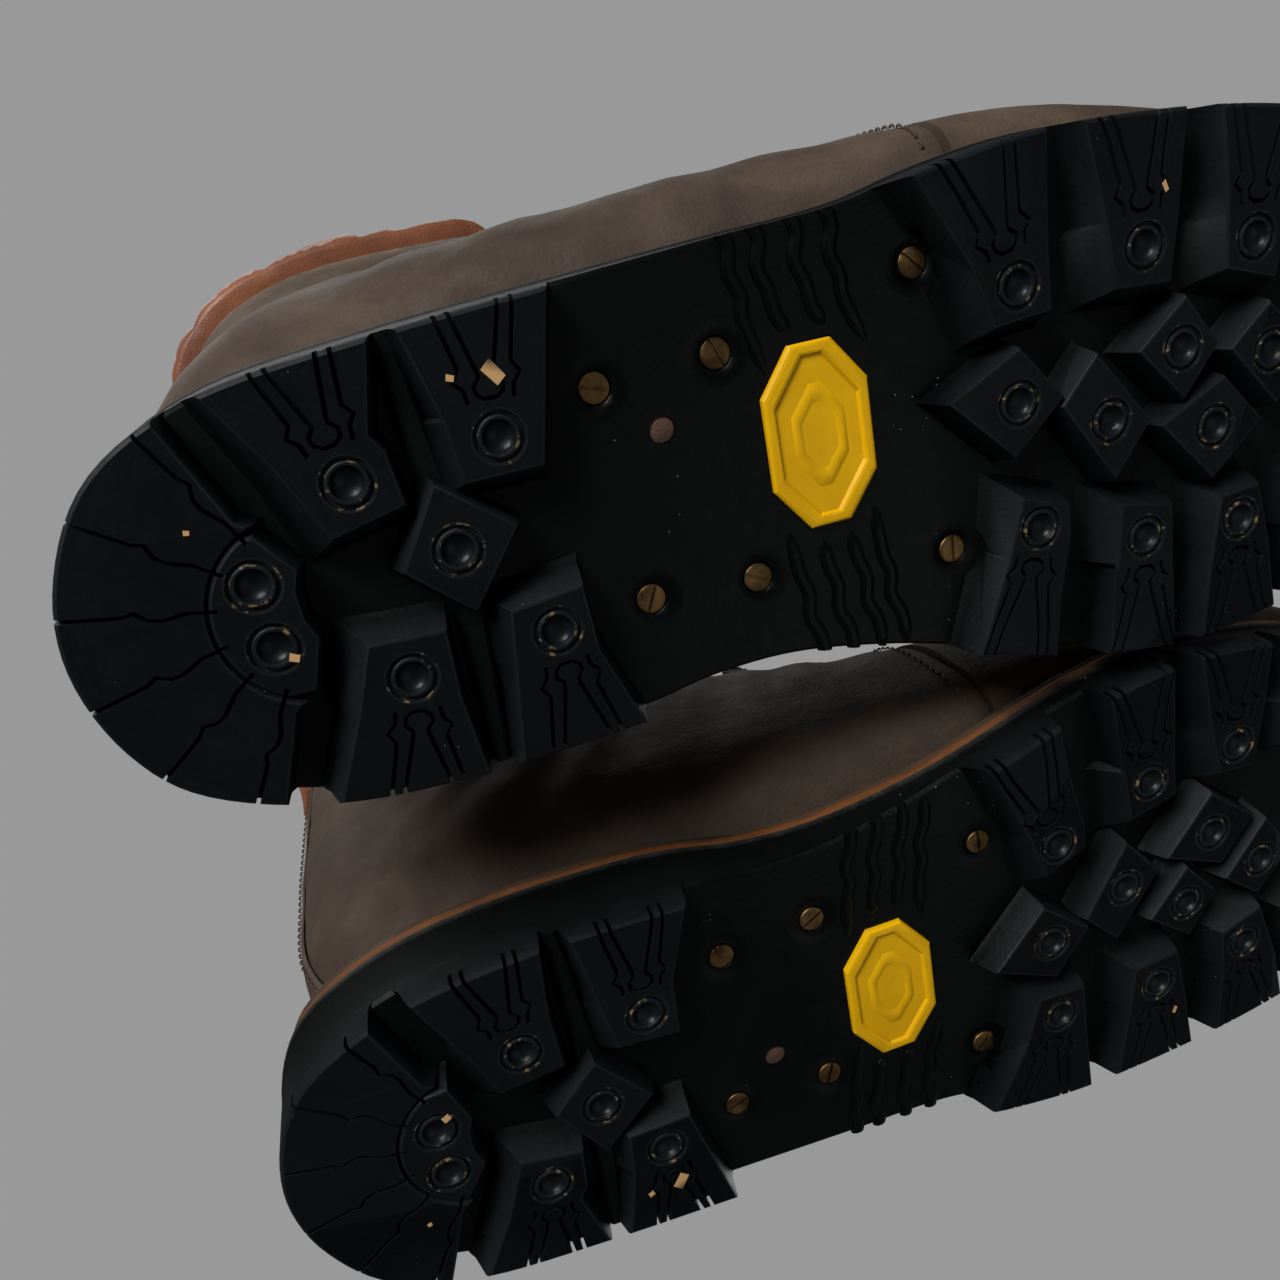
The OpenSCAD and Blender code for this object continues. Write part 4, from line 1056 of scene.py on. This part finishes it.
def closed_cup(us, d0, d1, relief=None, around=96):
    """A shell from the toe's tip back to the throat, open at the rear."""
    angles = np.linspace(0, 360, around, endpoint=False)

    def grid(d, lift):
        g = np.array([[skin(max(u, d / 5), a, d) for a in angles] for u in us])
        if lift:
            n = np.cross(np.gradient(g, axis=0), (np.roll(g, -1, 1) - np.roll(g, 1, 1)) / 2)
            n /= np.linalg.norm(n, axis=2)[..., None] + 1e-9
            if ((g - g.mean(axis=1)[:, None]) * n).sum() < 0:
                n = -n
            h = np.array([[lift(u, a, g[i, j]) for j, a in enumerate(angles)] for i, u in enumerate(us)])
            g = g + n * h[..., None]
        c = g[0].mean(axis=0)
        nose = []
        for s in (0.15, 0.45, 0.7, 0.88):
            ring = c + (g[0] - c) * s
            ring[:, 0] += 3.0 * math.sqrt(1 - s * s) * (1 if d == 0 else 0.6)
            nose.append(ring)
        return np.concatenate([np.array(nose), g])

    out, inn = grid(d0, relief), grid(d1, None)
    n, m = out.shape[:2]
    k = n * m
    faces = [tuple(range(m)), tuple(range(k + m - 1, k - 1, -1))]
    faces += ring_faces(n, m) + ring_faces(n, m, first=k, flip=True)
    last = (n - 1) * m
    faces += [(last + j, last + (j + 1) % m, k + last + (j + 1) % m, k + last + j) for j in range(m)]
    return closed_mesh("cup", np.vstack([out.reshape(-1, 3), inn.reshape(-1, 3)]), faces)


def row_on_skin(us, angle, outer_d=-0.35):
    """Points and outward normals along a line on the upper, at the angle given for each section."""
    pts, nrm = [], []
    for u in us:
        a = angle(u)
        p = skin(u, a, outer_d)
        du = skin(min(u + 0.05, 15.9), a, outer_d) - skin(u - 0.05, a, outer_d)
        da = skin(u, a + 1, outer_d) - skin(u, a - 1, outer_d)
        n = unit(np.cross(du, da))
        if np.dot(n, p - skin(u, a, outer_d + 2)) < 0:
            n = -n
        pts.append(p)
        nrm.append(n)
    return np.array(pts), np.array(nrm)


def build_upper_stitching():
    """Two rows beside each facing, one along the vamp's seam, one down each side of the backstay."""
    rows = []
    for outer, s in ((True, 1), (False, -1)):
        for off in (2.6, 4.4):
            us = np.linspace(THROAT_U + 0.2, 14.9, 90)
            rows.append(row_on_skin(us, lambda u: s * angle_at(u, throat(u) + off, outer)))
    seam = [row_on_skin([THROAT_U + 0.2], lambda u: facing(u, v)) for v in np.linspace(-0.93, 0.93, 120)]
    seam = [(p[0], n[0]) for p, n in seam if p[0][2] > seat(p[0][0]) + 4]
    rows.append(tuple(np.array(column) for column in zip(*seam)))
    for s in (-1, 1):
        us = np.linspace(11.5, 14.95, 60)
        rows.append(row_on_skin(us, lambda u: facing(u, s * (BACKSTAY_V - 0.012)), -1.9))
    out = []
    for pts, nrm in rows:
        lengths = np.linalg.norm(np.diff(pts, axis=0), axis=1)
        cuts = [0] + [i + 1 for i, l in enumerate(lengths) if l > 12] + [len(pts)]
        for a, b in zip(cuts, cuts[1:]):
            if b - a > 2:
                out += stitch_row(pts[a:b] - 0.12 * nrm[a:b], nrm[a:b], r=0.34)
    return raw_mesh("upper_stitches", *joined(out))


def backstay_relief(u, v, p):
    return 0.25 * fractal(p, 20, 3, 1.0) - 0.5 * smooth_bump(abs(v), BACKSTAY_V, 0.008)


def build_backstay():
    us = np.linspace(11.4, TOP_U, 48)
    vs = np.linspace(-BACKSTAY_V, BACKSTAY_V, 15)
    me = slab(*leather_sheet(us, vs, -1.5, -0.35, facing, backstay_relief))
    wear = [0.25 * smooth_bump(abs(v), BACKSTAY_V, 0.012) for _ in us for v in vs]
    paint(me, "wear", wear + [0.0] * len(wear))
    return me


def build_lining():
    us = np.linspace(QUARTERS_START, TOP_U, 60)
    vs = np.linspace(-1, 1, 81)
    out, inn = leather_sheet(us, vs, LINING_D, INSIDE_D, facing)
    h = np.array([[0.22 * fractal(p, 22, 3, 6.0) for p in row] for row in inn])
    return slab(out, inn + grid_normals(inn) * h[..., None])


# ---------------------------------------------------------------- collar and tongue
COLLAR_H, COLLAR_T, COLLAR_REACH = 20.0, 14.0, 0.985
COLLAR_MID, COLLAR_MID_Z = -INSIDE_D + COLLAR_T / 2, 8.0      # the middle of the roll, outwards and up
ROLL_STEPS = 28                                               # points over the roll's top, foot to foot
LONG_SEAM, CROSS_SEAM_COUNT = int(ROLL_STEPS * 0.68), 13


def collar_hoop(d, steps):
    """The roll's outline at depth d as (outwards, up): from its inner foot over the top and back under."""
    over = [(COLLAR_MID + (COLLAR_T / 2 - d) * math.cos(a), 1 + (COLLAR_H - 1 - d) * math.sin(a) ** 0.62)
            for a in np.linspace(math.pi, 0, steps)]
    under = [(x, 0.4 + d) for x in np.linspace(over[-1][0] - 1.2, over[0][0] + 1.2, max(3, steps // 5))]
    return np.array(over + under)


def collar_frame(v):
    """A point of the rim and the level direction outwards from it."""
    b = skin(TOP_U, facing(TOP_U, v), 0)
    t = skin(TOP_U, facing(TOP_U, min(v + 0.02, 1)), 0) - skin(TOP_U, facing(TOP_U, max(v - 0.02, -1)), 0)
    return b, unit(np.array([-t[1], t[0], 0]))


def collar_seams():
    """Where the cross seams are: evenly spaced, each a little off."""
    rng = random.Random(4)
    at = np.linspace(-1, 1, CROSS_SEAM_COUNT + 1)
    return [at[0]] + [x + rng.uniform(-0.012, 0.012) for x in at[1:-1]] + [at[-1]]


CROSS_SEAMS = collar_seams()


def collar_point(b, o, x, z):
    return b + x * o + np.array([0, 0, z])


def seam_gap(v):
    """The way to the nearest cross seam, as a share of their pitch."""
    return min(abs(v - s) for s in CROSS_SEAMS) / (2 / CROSS_SEAM_COUNT)


def build_collar():
    """The padded collar: a leather roll drawn in at its cross seams and along one lengthwise seam, and puffed
    out between them by a short cloth simulation."""
    rows = 241
    vs = np.linspace(-COLLAR_REACH, COLLAR_REACH, rows)
    hoop = collar_hoop(0, ROLL_STEPS)
    m = len(hoop)
    verts, pin, wear = [], [], []
    for v in vs:
        b, o = collar_frame(v)
        gap = seam_gap(v)
        end = min(1.0, (COLLAR_REACH - abs(v)) / 0.03)
        for j, (x, z) in enumerate(hoop):
            under = j >= ROLL_STEPS
            drop = 0.4 * smooth_bump(gap, 0, 0.045) + 0.7 * smooth_bump(j, LONG_SEAM, 1.0)
            puff = 0.5 * (1 - smooth_bump(gap, 0, 0.22))
            dx, dz = x - COLLAR_MID, z - COLLAR_MID_Z
            k = 1 if under else 1 + (0.6 * puff - drop) / math.hypot(dx, dz)
            k *= 0.80 + 0.20 * math.sqrt(end)
            verts.append(collar_point(b, o, COLLAR_MID + dx * k, COLLAR_MID_Z + dz * k))
            held = under or j in (0, ROLL_STEPS - 1) or end < 1
            pin.append(1.0 if held else max(smooth_bump(gap, 0, 0.03), smooth_bump(j, LONG_SEAM, 0.6)))
            wear.append(0.12 * smooth_bump(j, ROLL_STEPS * 0.5, 3.0) * (1 - smooth_bump(gap, 0, 0.1)))
    last = (rows - 1) * m
    caps = [tuple(range(m)), tuple(range(last + m - 1, last - 1, -1))]
    me = closed_mesh("collar", verts, ring_faces(rows, m, flip=True) + caps)
    me = inflate(me, pin, pressure=3.2, growth=0.07, frames=26)
    paint(me, "wear", wear)
    return me


def build_collar_seams():
    """Dark thread along the collar's cross seams."""
    parts = []
    for s in CROSS_SEAMS[1:-1]:
        b, o = collar_frame(s)
        pts, nrm = [], []
        for x, z in collar_hoop(0, ROLL_STEPS)[4:ROLL_STEPS]:
            dx, dz = x - COLLAR_MID, z - COLLAR_MID_Z
            k = 1 - 1.15 / math.hypot(dx, dz)
            pts.append(collar_point(b, o, COLLAR_MID + dx * k, COLLAR_MID_Z + dz * k))
            nrm.append(collar_point(0, o, dx, dz))
        parts += stitch_row(np.array(pts), np.array(nrm), 2.4, 0.75, 0.35)
    return raw_mesh("collar_seams", *joined(parts))


def build_foam():
    frames = [collar_frame(v) for v in np.linspace(-COLLAR_REACH, COLLAR_REACH, 90)]
    hoop = collar_hoop(1.8, 18)
    rings = [np.array([collar_point(b, o, x, z) for x, z in hoop]) for b, o in frames]
    return closed_mesh("foam", *stacked(rings))


CLOTH = dict(quality=6, mass=0.4, tension_stiffness=18, compression_stiffness=14, shear_stiffness=8,
             bending_stiffness=0.35, tension_damping=12, compression_damping=12, bending_damping=1.0,
             air_damping=3, vertex_group_mass="pin", pin_stiffness=3, use_pressure=True)


def inflate(me, pin, pressure, growth, frames):
    """Cloth with inner pressure, held where pin is 1; done at ten times the size, which suits the solver."""
    big = 10 * MM
    work = me.copy()
    work.vertices.foreach_set("co", (coords(me) * big).ravel())
    ob = new_object("inflating", work)
    group = ob.vertex_groups.new(name="pin")
    for i, w in enumerate(pin):
        if w > 0.02:
            group.add([i], w, "REPLACE")
    mod = ob.modifiers.new("cloth", "CLOTH")
    for key, value in CLOTH.items():
        setattr(mod.settings, key, value)
    mod.settings.uniform_pressure_force = pressure
    mod.settings.shrink_min = mod.settings.shrink_max = -growth
    mod.settings.effector_weights.gravity = 0
    mod.collision_settings.use_collision = False
    scene = bpy.context.scene
    scene.frame_start, scene.frame_end = 1, frames
    mod.point_cache.frame_start, mod.point_cache.frame_end = 1, frames
    for f in range(1, frames + 1):
        scene.frame_set(f)
    deps = bpy.context.evaluated_depsgraph_get()
    out = bpy.data.meshes.new_from_object(ob.evaluated_get(deps))
    out.vertices.foreach_set("co", (coords(out) / big).ravel())
    bpy.data.objects.remove(ob)
    scene.frame_set(1)
    return out


TONGUE_D, TONGUE_T, TONGUE_HALF = INSIDE_D + 0.9, 3.0, 30.0
TONGUE_FOOT = 6.8
QUILT_SEAMS = (-0.94, -0.36, 0.36, 0.94)


def tongue_half(u):
    return TONGUE_HALF - 8 * max(0, 7.6 - u) - 10 * max(0, min(1, u - 13))


def tongue_angle(u, v):
    return 180 + v * (180 - angle_at(u, tongue_half(u), v < 0))


def build_tongue():
    """The padded tongue: quilted by seams along it, puffed between them."""
    us = np.linspace(TONGUE_FOOT, LAST_U, 90)
    vs = np.linspace(-1, 1, 33)
    out, inn = leather_sheet(us, vs, TONGUE_D, TONGUE_D + TONGUE_T, tongue_angle)
    n = grid_normals(out)
    if n[..., 0].mean() < 0:
        n = -n
    pins = np.zeros(out.shape[:2])
    for i, u in enumerate(us):
        ends = smooth_bump(u, TONGUE_FOOT, 0.2) + smooth_bump(u, LAST_U, 0.12)
        for j, v in enumerate(vs):
            gap = min(abs(v - s) for s in QUILT_SEAMS)
            hollow = smooth_bump(gap, 0, 0.05)
            lift = 0.25 - 0.85 * hollow
            out[i, j] += n[i, j] * (lift * (1 - min(1, ends)) + 0.15 * fractal(out[i, j], 18, 3, 8.0))
            pins[i, j] = min(1.0, smooth_bump(gap, 0, 0.06) + ends + (1.0 if abs(v) > 0.97 else 0.0))
    me = slab(out, inn)
    me = inflate(me, list(pins.ravel()) + [1.0] * pins.size, pressure=1.6, growth=0.05, frames=18)
    paint(me, "wear", [0.25 * smooth_bump(u, LAST_U, 0.35) for u in us for _ in vs] + [0.0] * pins.size)
    return me


# ---------------------------------------------------------------- lacing
RING_ROWS = [7.15, 8.2]
HOOK_ROWS = [9.35, 10.45, 11.7, 14.1]
RIM_GAP, BAR_Z, RING_TILT, RING_R, WIRE_R = 8.5, 4.2, 8.0, 8.0, 1.0
PLATE_Z, PLATE_T, CLIP_W = 0.8, 1.0, 9.0
CURL_R = 1.62
RIVET = [(0, -0.4), (2.5, -0.4), (2.7, 0.05), (2.45, 0.5), (1.7, 0.95), (0.8, 1.15), (0, 1.2)]
RIVET_X = -8
LACE_R, TURN_R = 1.5, 3.7


def hardware_frame(u, outer):
    """Axes (towards the opening's edge, along it, outwards) and origin of a piece of lacing hardware."""
    s = 1 if outer else -1
    a = s * angle_at(u, throat(u) + RIM_GAP, outer)
    p = skin(u, a, 0)
    x0 = unit(skin(u, a + s * 2, 0) - skin(u, a - s * 2, 0))
    y0 = unit(skin(u + 0.1, a, 0) - skin(u - 0.1, a, 0))
    z = unit(np.cross(x0, y0)) * s
    y = unit(y0 - np.dot(y0, z) * z)
    x = np.cross(y, z)
    return (x, y, z, p) if outer else (-x, y, z, p)


def spot(f, q):
    """A point given in a hardware frame."""
    return f[3] + q[0] * f[0] + q[1] * f[1] + q[2] * f[2]


def tube(path, radius, around=10, closed=False, bumps=None):
    """A round cord or wire along a path."""
    p = np.asarray(path, float)
    n = len(p)
    t = (np.roll(p, -1, 0) - np.roll(p, 1, 0)) if closed else np.gradient(p, axis=0)
    t /= np.linalg.norm(t, axis=1)[:, None] + 1e-9
    side = unit(np.cross(t[0], [0.31, 0.17, 0.93]))
    rings = []
    for i in range(n):
        side = unit(side - np.dot(side, t[i]) * t[i])
        up = np.cross(t[i], side)
        row = []
        for k in range(around):
            a = 2 * math.pi * k / around
            r = radius * (1 + (bumps(i, a) if bumps else 0))
            row.append(p[i] + r * (math.cos(a) * side + math.sin(a) * up))
        rings.append(np.array(row))
    if not closed:
        return stacked(rings)
    shift = int(np.argmin([np.linalg.norm(rings[0][0] - rings[-1][k]) for k in range(around)]))
    last = (n - 1) * around
    faces = ring_faces(n, around)
    for k in range(around):
        q = (k + 1) % around
        faces.append((last + (k + shift) % around, last + (q + shift) % around, q, k))
    return [tuple(q) for r in rings for q in r], faces


def strap(path, widths, thickness, f):
    """A bent metal strip: a path in the frame's (x, z) plane, a width at each point, corners eased."""
    p = np.asarray(path, float)
    t = np.array([unit(v) for v in np.gradient(p, axis=0)])
    n = np.column_stack([-t[:, 1], t[:, 0]])
    rings = []
    for q, m, width in zip(p, n, widths):
        h, w, e = thickness / 2, width / 2, 0.22
        section = [(-w, -h + e), (-w + e, -h), (w - e, -h), (w, -h + e)]
        section += [(-a, -b) for a, b in section]
        rings.append(np.array([spot(f, (q[0] + m[0] * b, a, q[1] + m[1] * b)) for a, b in section]))
    return stacked(rings)


def all_rows(rows):
    return [(u, outer) for u in rows for outer in (True, False)]


def build_ring(u, outer):
    """A D-shaped wire ring: a straight bar, small corners and a round bow, tilted up from the leather."""
    f = hardware_frame(u, outer)
    c, s = math.cos(math.radians(RING_TILT)), math.sin(math.radians(RING_TILT))
    bend = 1.6
    corner = [(bend - bend * math.cos(a), RING_R - bend + bend * math.sin(a))
              for a in np.linspace(0.3, 1.2, 4)]
    outline = [(0.0, y) for y in np.linspace(-RING_R + bend, RING_R - bend, 12)] + corner
    outline += [(bend + (RING_R - bend) * math.sin(a), RING_R * math.cos(a))
                for a in np.linspace(0.12, math.pi - 0.12, 30)]
    outline += [(x, -y) for x, y in corner[::-1]]
    path = [spot(f, (x * c, y, BAR_Z + x * s)) for x, y in outline]
    return raw_mesh("ring", *tube(path, WIRE_R, 12, closed=True))


def build_straps(name, rows, path, widths):
    """The same bent strip at every place in the rows."""
    parts = [strap(path, widths, PLATE_T, hardware_frame(u, outer)) for u, outer in all_rows(rows)]
    return closed_mesh(name, *joined(parts))


def build_clips():
    """A plate whose end curls round the ring's bar and back under itself."""
    z = PLATE_Z + PLATE_T / 2
    path = [(-11, z), (-8, z), (-5, z), (-3.0, z + 0.05), (-1.6, z + 0.55)]
    curl = np.radians(np.arange(-105, 226, 22))
    path += [(CURL_R * math.cos(a), BAR_Z + CURL_R * math.sin(a)) for a in curl]
    path += [(-2.6, BAR_Z - 1.2), (-4.4, z + 1.2), (-6.5, z + 1.02), (-9.6, z + 1.0)]
    widths = [7.2, 8.6] + [CLIP_W] * (len(path) - 3) + [8]
    return build_straps("clips", RING_ROWS, path, widths)


def build_hooks():
    """A plate that bends up and back over itself, narrowest at its neck."""
    z = PLATE_Z + PLATE_T / 2
    # place along, height and width
    profile = [(-11, 0, 6.0), (-10.2, 0, 8.2), (-8, 0, 9), (-4, 0, 9), (0.2, 0, 8.6), (1.6, 0.35, 7.4),
               (2.4, 1.3, 5.6), (2.5, 2.6, 4.6), (2.0, 4.0, 4.4), (0.8, 5.1, 4.6), (-0.8, 5.6, 5.2),
               (-2.8, 5.7, 5.8), (-4.6, 5.4, 5.8), (-6.2, 4.9, 4.8), (-6.9, 4.6, 3.2)]
    return build_straps("hooks", HOOK_ROWS, [(x, z + h) for x, h, _ in profile], [w for _, _, w in profile])


def build_rivets():
    parts = []
    for u, outer in all_rows(RING_ROWS + HOOK_ROWS):
        f = hardware_frame(u, outer)
        top = PLATE_Z + PLATE_T + (1.0 if u in RING_ROWS else 0)
        v, faces = lathe(RIVET, 24, (RIVET_X, 0, top))
        parts.append(([spot(f, p) for p in v], faces))
    return closed_mesh("rivets", *joined(parts))


def lace_path():
    """From one tip down over every hook and ring of one strand, across the lowest rings, and up the other."""
    apex = BAR_Z + RING_R * math.sin(math.radians(RING_TILT))
    turn = np.radians(np.arange(-90, -271, -30))
    rows = RING_ROWS + HOOK_ROWS

    def ring_turn(u, outer):
        f = hardware_frame(u, outer)
        return [spot(f, (RING_R + TURN_R * math.cos(a), 0, apex + TURN_R * math.sin(a))) for a in turn]

    def hook_turn(u, outer):
        f = hardware_frame(u, outer)
        return [spot(f, (TURN_R * math.cos(a), TURN_R * math.sin(a), 3.6)) for a in turn]

    def crossing(u, lift):
        return skin(u, 180, 0) + (1.6 + lift) * np.array([0.55, 0, 0.83])

    def over_edge(u, outer):
        return skin(u, (1 if outer else -1) * angle_at(u, throat(u) + 1.5, outer), -(LACE_R + 1.7))

    def half(outer, lift):
        out = []
        for k in range(6):
            side = (k % 2 == 0) == outer
            out += ring_turn(rows[k], side) if k < 2 else hook_turn(rows[k], side)
            if k < 5:
                u, up = rows[k], rows[k + 1] - rows[k]
                out += [over_edge(u + up * 0.25, side)] if k >= 2 else []
                out.append(crossing(u + up / 2, lift))
                out += [over_edge(u + up * 0.75, not side)] if k >= 1 else []
        return out

    def end(s):
        hanging = ((126, 9, 176), (133, 15, 166), (139, 17, 154), (147, 19, 144))
        return [np.array([x, s * y, z], float) for x, y, z in hanging]

    a, b = half(True, LACE_R + 0.4), half(False, -LACE_R - 0.4)
    low = skin(RING_ROWS[0], 180, 0) + np.array([1, 0, 1.5])
    return end(1)[::-1] + a[::-1] + [low] + b + end(-1)


def braid(i, a):
    """The bumps of crossing yarns at step i along a cord and angle a round it."""
    return 0.10 * math.sin(i * 1.25 + 2 * a) * math.sin(i * 1.25 - 2 * a)


def build_lace():
    """The lace and its two tips."""
    fine = resample(smooth_path(np.array(lace_path()), 8), 0.9)
    caps = []
    for tip, back in ((fine[0], fine[6]), (fine[-1], fine[-7])):
        d = unit(tip - back)
        caps.append(tube([tip + d * x for x in (-7, -6.8, -3, 0.8, 1.2)], LACE_R + 0.12, 12))
    return raw_mesh("lace", *tube(fine, LACE_R, 12, bumps=braid)), raw_mesh("tips", *joined(caps))


def build_footbed():
    """A thin insole inside the lining, narrowed and shortened from the sole's outline."""
    z0 = WELT_TOP + 0.8 + INSIDE_D + 1.7 + 2.3
    middle_x, shortened = 157, 0.87

    def loop(d):
        l = inset(SOLE, 16.5 + d)
        l[:, 0] = middle_x + (l[:, 0] - middle_x) * shortened
        return l

    profile = ((1.6, 0), (1.0, 0.6), (1.0, 2.9), (1.5, 3.6), (2.6, 3.8))
    return raw_mesh("footbed", *capped_layer([(loop(d), z0 + h) for d, h in profile]))


# ---------------------------------------------------------------- the pieces in place
lace_mesh, tips_mesh = build_lace()
vamp_mesh = closed_cup(np.linspace(0, VAMP_END, 70), 0, LEATHER_T, vamp_relief)
vamp_lining_mesh = closed_cup(np.linspace(0.6, VAMP_END, 40), LINING_D, INSIDE_D, around=64)
for name, mesh, look, slot, angle in (
        ("outsole", build_outsole(), RUBBER, "rubber", 32),
        ("sole_badge", build_badge(), BADGE, "badge_plastic", 25),
        ("sole_screws", build_screws(), BRASS, "screw_brass", 30),
        ("midsole", build_midsole(), MIDSOLE, "midsole_leather", 50),
        ("welt", build_welt(), WELT, "welt_leather", 50),
        ("welt_stitching", build_welt_stitching(), THREAD, "thread", 60),
        ("quarters", build_quarters(), UPPER, "upper_leather", 50),
        ("vamp", vamp_mesh, UPPER, "upper_leather", 50),
        ("backstay", build_backstay(), BACKSTAY, "backstay_leather", 50),
        ("quarter_lining", build_lining(), LINING, "lining_leather", 50),
        ("vamp_lining", vamp_lining_mesh, LINING, "lining_leather", 50),
        ("collar", build_collar(), COLLAR, "collar_leather", 70),
        ("collar_foam", build_foam(), FOAM, "foam", 60),
        ("footbed", build_footbed(), FELT, "footbed_felt", 50),
        ("ring_clips", build_clips(), STEEL, "lacing_steel", 40),
        ("lace_hooks", build_hooks(), STEEL, "lacing_steel", 40),
        ("rivets", build_rivets(), STEEL, "lacing_steel", 50),
        ("lace", lace_mesh, CORD, "lace_cord", 70)):
    put(name, mesh, look, angle)
put("tongue", build_tongue(), TONGUE, 60, "tongue_body")
for row, u in zip(("lower", "upper"), RING_ROWS):
    for place, outer in (("outer", True), ("inner", False)):
        ring = f"ring_{row}_{place}"
        put(ring, build_ring(u, outer), STEEL, 60, f"{ring}_body")
# Details that no node stands for
put("sole_plug", build_plug(), PEG, 40, nodes=[])
put("upper_stitching", build_upper_stitching(), DARK_THREAD, 60, nodes=[])
put("collar_seams", build_collar_seams(), DARK_THREAD, 60, nodes=[])
put("lace_tips", tips_mesh, STEEL, 50, nodes=[])
# Inner nodes that keep their shape
INNER_LOOKS = dict(cork_filler=CORK, shank=SHANK, insole_board=BOARD, toe_puff=STIFF, heel_counter=STIFF)
for node, look in INNER_LOOKS.items():
    for side in SIDES:
        materials = frame["nodes"][f"{side}_{node}"].data.materials
        materials.clear()
        materials.append(look)


# ---------------------------------------------------------------- stage, light and camera
def floor_look():
    """Pale paint, seen only by a camera above the floor, so that the soles can be seen from below."""
    k = Look("floor_paint")
    k.where = k.node("TexCoord", {}).outputs["Generated"]
    grey = k.ramp(k.noise(3, 2, 0.5), [(0.0, (0.30, 0.30, 0.30, 1)), (1.0, (0.33, 0.33, 0.33, 1))])
    k.finish(grey, 0.8)
    k.set(k.bsdf.inputs["Emission Color"], (1, 1, 1, 1))
    k.set(k.bsdf.inputs["Emission Strength"], 0.27)
    front = k.math("SUBTRACT", 1, k.node("NewGeometry", {}).outputs["Backfacing"])
    seen = k.math("MULTIPLY", k.node("LightPath", {}).outputs["Is Camera Ray"], front)
    clear = k.node("BsdfTransparent", {})
    mix = k.node("MixShader", {"Fac": seen, 1: clear.outputs[0], 2: k.bsdf.outputs[0]})
    k.set(k.tree.nodes["Material Output"].inputs["Surface"], mix.outputs[0])
    return k.owner


def studio_world():
    """A dim, even light, and a plain grey where the camera sees past the floor."""
    k = Wiring(bpy.data.worlds.new("studio"))
    light = k.tree.nodes["Background"]
    k.set(light.inputs["Color"], (0.95, 0.97, 1.0, 1))
    k.set(light.inputs["Strength"], 0.14)
    grey = k.node("Background", {"Color": linear((153, 153, 153))})
    camera_ray = k.node("LightPath", {}).outputs["Is Camera Ray"]
    mix = k.node("MixShader", {"Fac": camera_ray, 1: light.outputs[0], 2: grey.outputs[0]})
    k.set(k.tree.nodes["World Output"].inputs["Surface"], mix.outputs[0])
    return k.owner


def build_stage():
    half = 6
    corners = [(-half, -half, 0), (half, -half, 0), (half, half, 0), (-half, half, 0)]
    floor = new_object("floor", raw_mesh("floor", corners, [(0, 1, 2, 3)]))
    floor.data.materials.append(floor_look())
    bpy.context.scene.world = studio_world()
    bpy.context.scene.view_settings.view_transform = "Standard"


def soft_light(name, position, target, size, watts):
    data = bpy.data.lights.new(name, "AREA")
    data.shape = "DISK"
    data.size = size
    data.energy = watts
    ob = new_object(name, data)
    ob.location = position
    ob.rotation_euler = (Vector(target) - Vector(position)).to_track_quat("-Z", "Y").to_euler()


# The camera lies below the soles and looks up; its place and axes are in metres in the row's frame
CAMERA_AT = Vector((-0.1002, -0.1094, -0.1845))
VIEW_RIGHT = Vector((0.944, 0.186, -0.271)).normalized()
VIEW_DOWN = Vector((-0.265, 0.918, -0.296))


def build_camera():
    data = bpy.data.cameras.new("camera")
    data.sensor_width = 36
    data.lens = 29.83
    data.clip_start = 0.01
    cam = new_object("camera", data)
    into = VIEW_RIGHT.cross(VIEW_DOWN).normalized()
    down = into.cross(VIEW_RIGHT).normalized()
    turn = Matrix((VIEW_RIGHT, -down, -into)).transposed().to_4x4()
    cam.matrix_world = Matrix.Translation(CAMERA_AT) @ turn
    bpy.context.scene.camera = cam


build_stage()
build_camera()
soft_light("key", (-0.75, -1.15, -0.62), (0, 0, 0.02), 0.7, 30)
soft_light("under", (0.55, 0.35, -1.1), (0, 0, 0.02), 1.0, 1.2)
soft_light("high", (-0.2, -0.5, 1.5), (0, 0, 0.08), 1.4, 9)
soft_light("fill", (0.9, 0.9, 0.9), (0, 0, 0.05), 1.2, 12)
